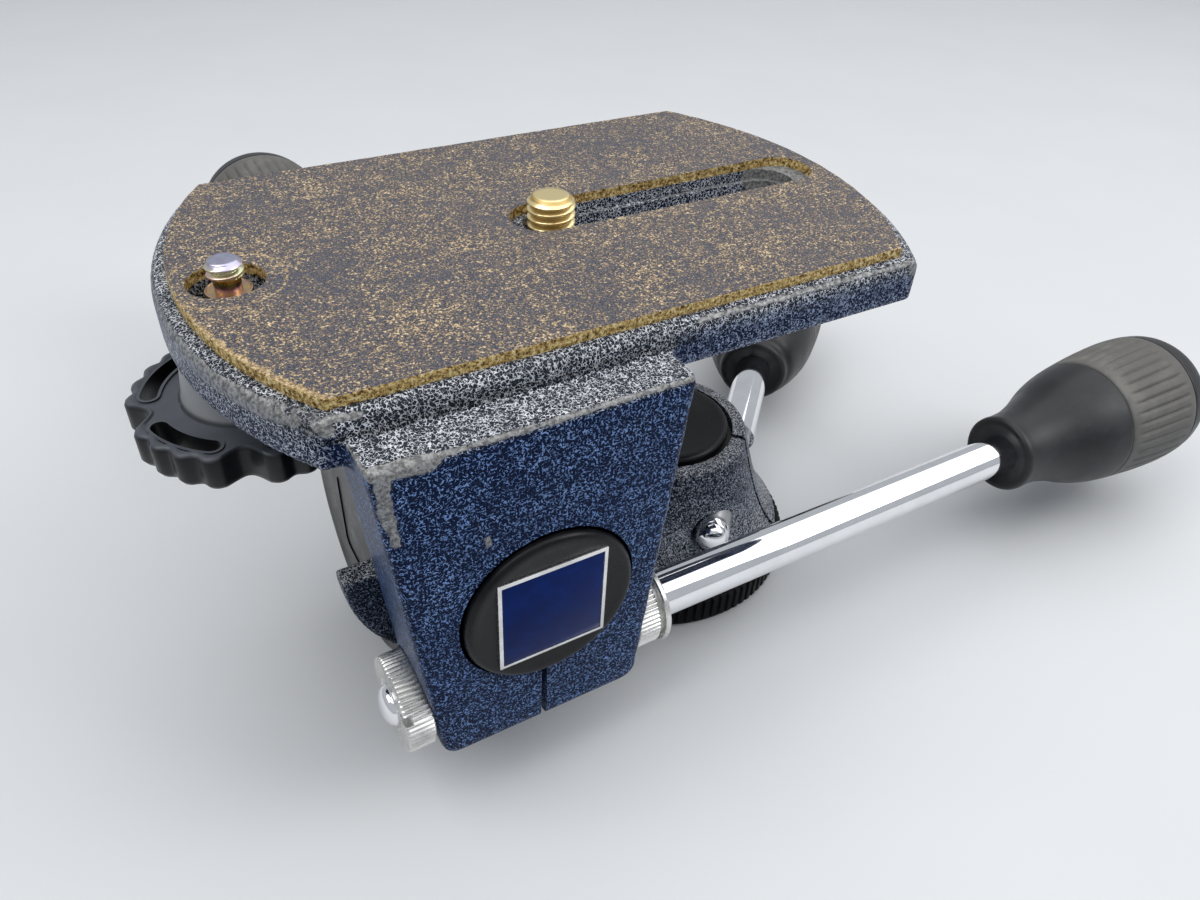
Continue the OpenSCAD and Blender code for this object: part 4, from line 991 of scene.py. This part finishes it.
def knurled_nut():
    """The nut on the clamp bolt's far end: knurled rim, sunk face and a slot for a coin."""
    radius, thick = (nut_high.z - nut_low.z) / 2, nut_high.x - nut_low.x
    profile = [(4.05, 0), (radius - 0.5, 0), (radius - 0.05, 0.3), (radius, 0.5), (radius, thick - 0.45),
               (radius - 0.05, thick - 0.3), (radius - 0.4, thick), (5.4, thick), (5.2, thick - 0.35),
               (4.05, thick - 0.35), (4.05, 0)]
    bm = turned(profile, 60 * 8, knurl(60, 0.35, radius))
    centre = (nut_high.x, tilt_lock.y, tilt_lock.z)
    work = lay(aimed(bm, centre, (-1, 0, 0)))
    slot = block((nut_low.x - 1, tilt_lock.y - 1.0, tilt_lock.z - 20),
                 (nut_low.x + 1.5, tilt_lock.y + 1.0, tilt_lock.z + 20))
    slot.transform(Matrix.Translation(centre) @ Matrix.Rotation(math.radians(62), 4, "X")
                   @ Matrix.Translation(-Vector(centre)))
    work = change(work, [lay(slot)], "DIFFERENCE")
    return finish_piece("knurled_nut_turned", work, "nickel", "clamp_nut", ["knurled_nut"], 22)


def clamp_bolt_end():
    """The tilt clamp bolt, whose polished round end shows in the nut."""
    low, high = node_box("tilt_clamp_bolt")
    profile = [(0, high.x), (BOLT_R, high.x), *dome(BOLT_R, low.x + 2.2, -2.2)]
    bm = aimed(turned(profile, 64), (0, tilt_lock.y, tilt_lock.z), (1, 0, 0))
    return finish_piece("tilt_clamp_bolt_turned", bm, "nickel", "tilt_handle", ["tilt_clamp_bolt"],
                        look="chrome")


def knurled_collar():
    """The collar at the arm: a knurl, a dark groove and a smooth flange."""
    radius, flange = 8.5, 9.0
    profile = [(5.02, 0.06), (radius - 0.5, 0.06), (radius - 0.05, 0.4), (radius, 0.7), (radius, 4.9),
               (radius - 0.05, 5.2), (radius - 0.5, 5.5), (7.4, 5.55), (7.4, 6.35), (flange - 0.3, 6.4),
               (flange, 6.65), (flange, 7.35), (flange - 0.3, 7.68), (5.9, 7.7), (5.4, 7.5), (5.02, 7.2),
               (5.02, 0.06)]
    bm = aimed(turned(profile, 54 * 8, knurl(54, 0.32, radius, top=5.3)), tilt_lock, (1, 0, 0))
    return finish_piece("knurled_collar_turned", bm, "nickel", "tilt_handle", ["knurled_collar"])


knurled_nut()
clamp_bolt_end()
knurled_collar()


# ---- Camera screws and their knobs ----

def thread(radius, depth, pitch, low, high, shank_low, shank_r):
    """A screw end: a real helix between low and high, a plain shank down to shank_low."""
    rows = int((high - low) / 0.07)
    profile = [(0, shank_low), (shank_r, shank_low), (shank_r, low)]
    profile += [(radius - 0.0001 * i, low + (high - low) * i / rows) for i in range(1, rows + 1)]
    profile += [(radius * 0.5, high), (0, high)]

    def relief(angle, at, height):
        if height <= low + 0.001 or at < radius * 0.8:
            return at
        phase = (height / pitch - angle / (2 * math.pi)) % 1.0
        ridge = min(1.0, max(0.0, 1.35 - abs(phase - 0.5) * 3.4))
        chamfer = max(0.0, height - (high - 0.23 * radius)) * 1.2
        return min(radius - depth * (1 - ridge), radius - chamfer)

    return turned(profile, 96, relief)


def crest_attribute(piece, axis_point, radius, depth, top):
    """Marks how far out on its thread each point lies; the end face counts as a crest."""
    mesh = piece.data
    values = []
    for vert in mesh.vertices:
        out = math.hypot(vert.co.x / MM - axis_point.x, vert.co.y / MM - axis_point.y)
        share = 0.7 if vert.co.z / MM > top - 0.05 else (out - (radius - depth)) / depth
        values.append(min(1.0, max(0.0, share)))
    layer = mesh.attributes.new("crest", "FLOAT", "POINT")
    layer.data.foreach_set("value", values)


def camera_screws():
    low, high = node_box("large_camera_screw")
    bm = thread(4.76, 0.85, 1.5875, pad_low.z - 2, high.z, low.z, 4.2)
    bm = aimed(bm, (large_screw.x, large_screw.y, 0), (0, 0, 1))
    piece = finish_piece("large_screw_threaded", bm, "brass", "large_screw", ["large_camera_screw"], 45)
    crest_attribute(piece, large_screw, 4.76, 0.85, high.z)
    low, high = node_box("small_camera_screw")
    bm = thread(3.17, 0.7, 1.45, high.z - 3.1, high.z, low.z, 2.3)
    bm = aimed(bm, (small_screw.x, small_screw.y, 0), (0, 0, 1))
    finish_piece("small_screw_threaded", bm, "zinc_plate", "small_screw", ["small_camera_screw"], 45)
    low, high = node_box("small_screw_clip")
    profile = [(3.2, low.z), (3.9, low.z), (4.05, low.z + 0.2), (4.05, 98.35), (3.95, 98.6), (3.7, 98.65),
               (3.55, 98.5), (2.32, 98.5), (2.32, low.z), (3.2, low.z)]
    clip = aimed(turned(profile, 96), (small_screw.x, small_screw.y, 0), (0, 0, 1))
    finish_piece("small_clip_plated", clip, "zinc_plate", "small_slider", ["small_screw_clip"], 30)


STAR_LOBES = 5
STAR_TEETH = 4


def star_outline(angle):
    """The star knob's outline as a share of its outer radius: round teeth on each lobe."""
    pitch = 2 * math.pi / STAR_LOBES
    off = abs((angle + pitch / 2) % pitch - pitch / 2)
    lobe_half = 0.36 * pitch

    def notch(at):
        turn = 2 * math.pi * at * STAR_TEETH / (2 * lobe_half + 0.07)
        return 0.042 * (0.5 + 0.5 * math.cos(turn)) ** 1.3

    if off < lobe_half:
        return 1 - notch(off)
    shoulder = notch(lobe_half)
    into_scoop = math.pi / 2 * (off - lobe_half) / (pitch / 2 - lobe_half)
    return 1 - shoulder - (0.17 - shoulder) * math.sin(into_scoop)


def star_knob():
    """A moulded knob with five toothed lobes, curved slots and a conical hub, painted grey as a sheen."""
    low, high = star_low.z, star_high.z
    rim = low + 7
    radius, hub = 21.7, 12.4
    profile = [(0, low), (radius - 1.6, low), (radius - 0.6, low + 0.4), (radius, low + 1.4),
               (radius, rim - 0.9), (radius - 0.25, rim - 0.35), (radius - 0.8, rim),
               (radius - 1.4, rim), (radius - 2.0, rim - 0.35), (hub + 2, rim - 0.5), (hub + 0.2, rim - 0.2),
               (hub - 0.5, rim + 0.7), (10.6, high - 0.4), (10.2, high), (0, high)]

    def relief(angle, at, height):
        if at <= hub:
            return at
        share = (at - hub) / (radius - hub)
        return hub + share * (radius * star_outline(angle) - hub)

    work = lay(turned(profile, 360, relief))
    middle, width, half, lip = 17.6, 1.5, 19, 0.55
    tools = []
    lips = []
    for i in range(STAR_LOBES):
        azimuth = 360 / STAR_LOBES * i
        tools.append(lay(extruded(curved_slot(middle, width, half, azimuth), low - 1, rim + 1)))
        lips.append(lay(extruded(curved_slot(middle, width + lip, half, azimuth), low + 3, rim - 0.1)))
    work = change(change(work, lips, "UNION"), tools, "DIFFERENCE")
    work.data.transform(Matrix.Translation((small_screw.x, small_screw.y, 0)))
    return finish_piece("star_knob_moulded", work, "black_plastic", "small_screw", ["star_knob"], 40,
                        look="dust_and_sheen_plastic")


def curved_slot(middle, width, half, azimuth):
    """The outline of a slot with round ends that follows an arc."""
    count = 16
    points = []
    for side in (1, -1):
        for step in range(count + 1):
            a = math.radians(azimuth + side * half * (2 * step / count - 1))
            reach = middle + side * width
            points.append((reach * math.cos(a), reach * math.sin(a)))
        end = math.radians(azimuth + side * half)
        for step in range(1, 8):
            turn = end + (math.pi * step / 8 if side > 0 else math.pi * (1 + step / 8))
            points.append((middle * math.cos(end) + width * math.cos(turn),
                           middle * math.sin(end) + width * math.sin(turn)))
    return points


def large_knob():
    low, high = knob_low.z, knob_high.z
    radius = 16
    profile = [(0, low), (radius - 2, low), (radius - 0.6, low + 0.5), (radius, low + 1.2),
               (radius, low + 4.8), (radius - 0.6, low + 5.6), (radius - 1.6, low + 6), (9.6, low + 6.2),
               (9, low + 6.8), (9, high), (0, high)]
    bm = turned(profile, 30 * 12, knurl(30, 0.75, radius, 1.7, 2))
    bm = aimed(bm, (large_screw.x, large_screw.y, 0), (0, 0, 1))
    return finish_piece("large_knob_moulded", bm, "black_plastic", "large_screw", ["large_screw_knob"])


camera_screws()
star_knob()
large_knob()


# ---- Floor, light and camera ----

def looked_at(tree):
    """1 where a pale backdrop is looked at, or shows in metal; 0 where it only gives light."""
    path = tree.nodes.new("ShaderNodeLightPath")
    seen = path.outputs["Is Camera Ray"]
    for ray in ("Is Glossy Ray", "Is Transmission Ray"):
        either = tree.nodes.new("ShaderNodeMath")
        either.operation = "MAXIMUM"
        tree.links.new(seen, either.inputs[0])
        tree.links.new(path.outputs[ray], either.inputs[1])
        seen = either.outputs[0]
    return seen


def stage():
    """A pale floor that throws little light back up."""
    bm = bmesh.new()
    bmesh.ops.create_grid(bm, x_segments=1, y_segments=1, size=2.2)
    floor = lay(bm)
    floor.name = "floor"
    pale = Finish("pale_floor", {"Roughness": 0.8, "Specular IOR Level": 0.2})
    colour = pale.blend(pale.noise(60, 2.0), rgb(0.78, 0.79, 0.80), rgb(0.82, 0.83, 0.84))
    pale.wire(colour=pale.blend(looked_at(pale.tree), rgb(0.32, 0.36, 0.44), colour))
    floor.data.materials.append(pale.material)


LAMPS_AIM_AT = Vector((-0.03, 0, 0.05))


def lamp(name, place, size, radiance):
    """A soft square light; radiance is how bright it looks, with white at 1."""
    light = bpy.data.lights.new(name, "AREA")
    light.shape = "SQUARE"
    light.size = size
    light.energy = radiance * math.pi * size * size
    holder = bpy.data.objects.new(name, light)
    bpy.context.scene.collection.objects.link(holder)
    holder.location = place
    holder.rotation_euler = (LAMPS_AIM_AT - Vector(place)).to_track_quat("-Z", "Y").to_euler()


def lights():
    """A dim sky, shown pale to the camera and in metal, and three soft lamps."""
    world = bpy.data.worlds.new("studio")
    bpy.context.scene.world = world
    world.use_nodes = True
    tree = world.node_tree
    mix = tree.nodes.new("ShaderNodeMix")
    mix.data_type = "RGBA"
    mix.inputs[6].default_value = rgb(0.16, 0.176, 0.20)
    mix.inputs[7].default_value = rgb(0.48, 0.50, 0.53)
    tree.links.new(looked_at(tree), mix.inputs[0])
    tree.links.new(mix.outputs[2], tree.nodes["Background"].inputs["Color"])
    lamp("skylight", (0.30, -0.05, 1.08), 1.7, 1.15)
    lamp("overhead", (-0.55, 0.02, 0.80), 0.6, 3.0)
    lamp("window", (0.62, -0.52, 0.66), 0.5, 3.0)


def camera():
    """Looks from the photograph's viewing angle."""
    eye = Vector((-0.1133, -0.1521, 0.1789))
    right = Vector((0.8649, -0.5, 0.0452))
    down = Vector((-0.2824, -0.5589, -0.7797))
    forward = Vector((0.4151, 0.6615, -0.6246))
    lens = bpy.data.cameras.new("photo_view")
    lens.lens = 28
    lens.sensor_width = 36
    lens.clip_start = 0.01
    holder = bpy.data.objects.new("photo_view", lens)
    bpy.context.scene.collection.objects.link(holder)
    turn = Matrix((right, -down, -forward)).transposed()
    holder.matrix_world = Matrix.Translation(eye) @ turn.to_4x4()
    bpy.context.scene.camera = holder


stage()
lights()
camera()
bpy.context.scene.view_settings.view_transform = "Standard"
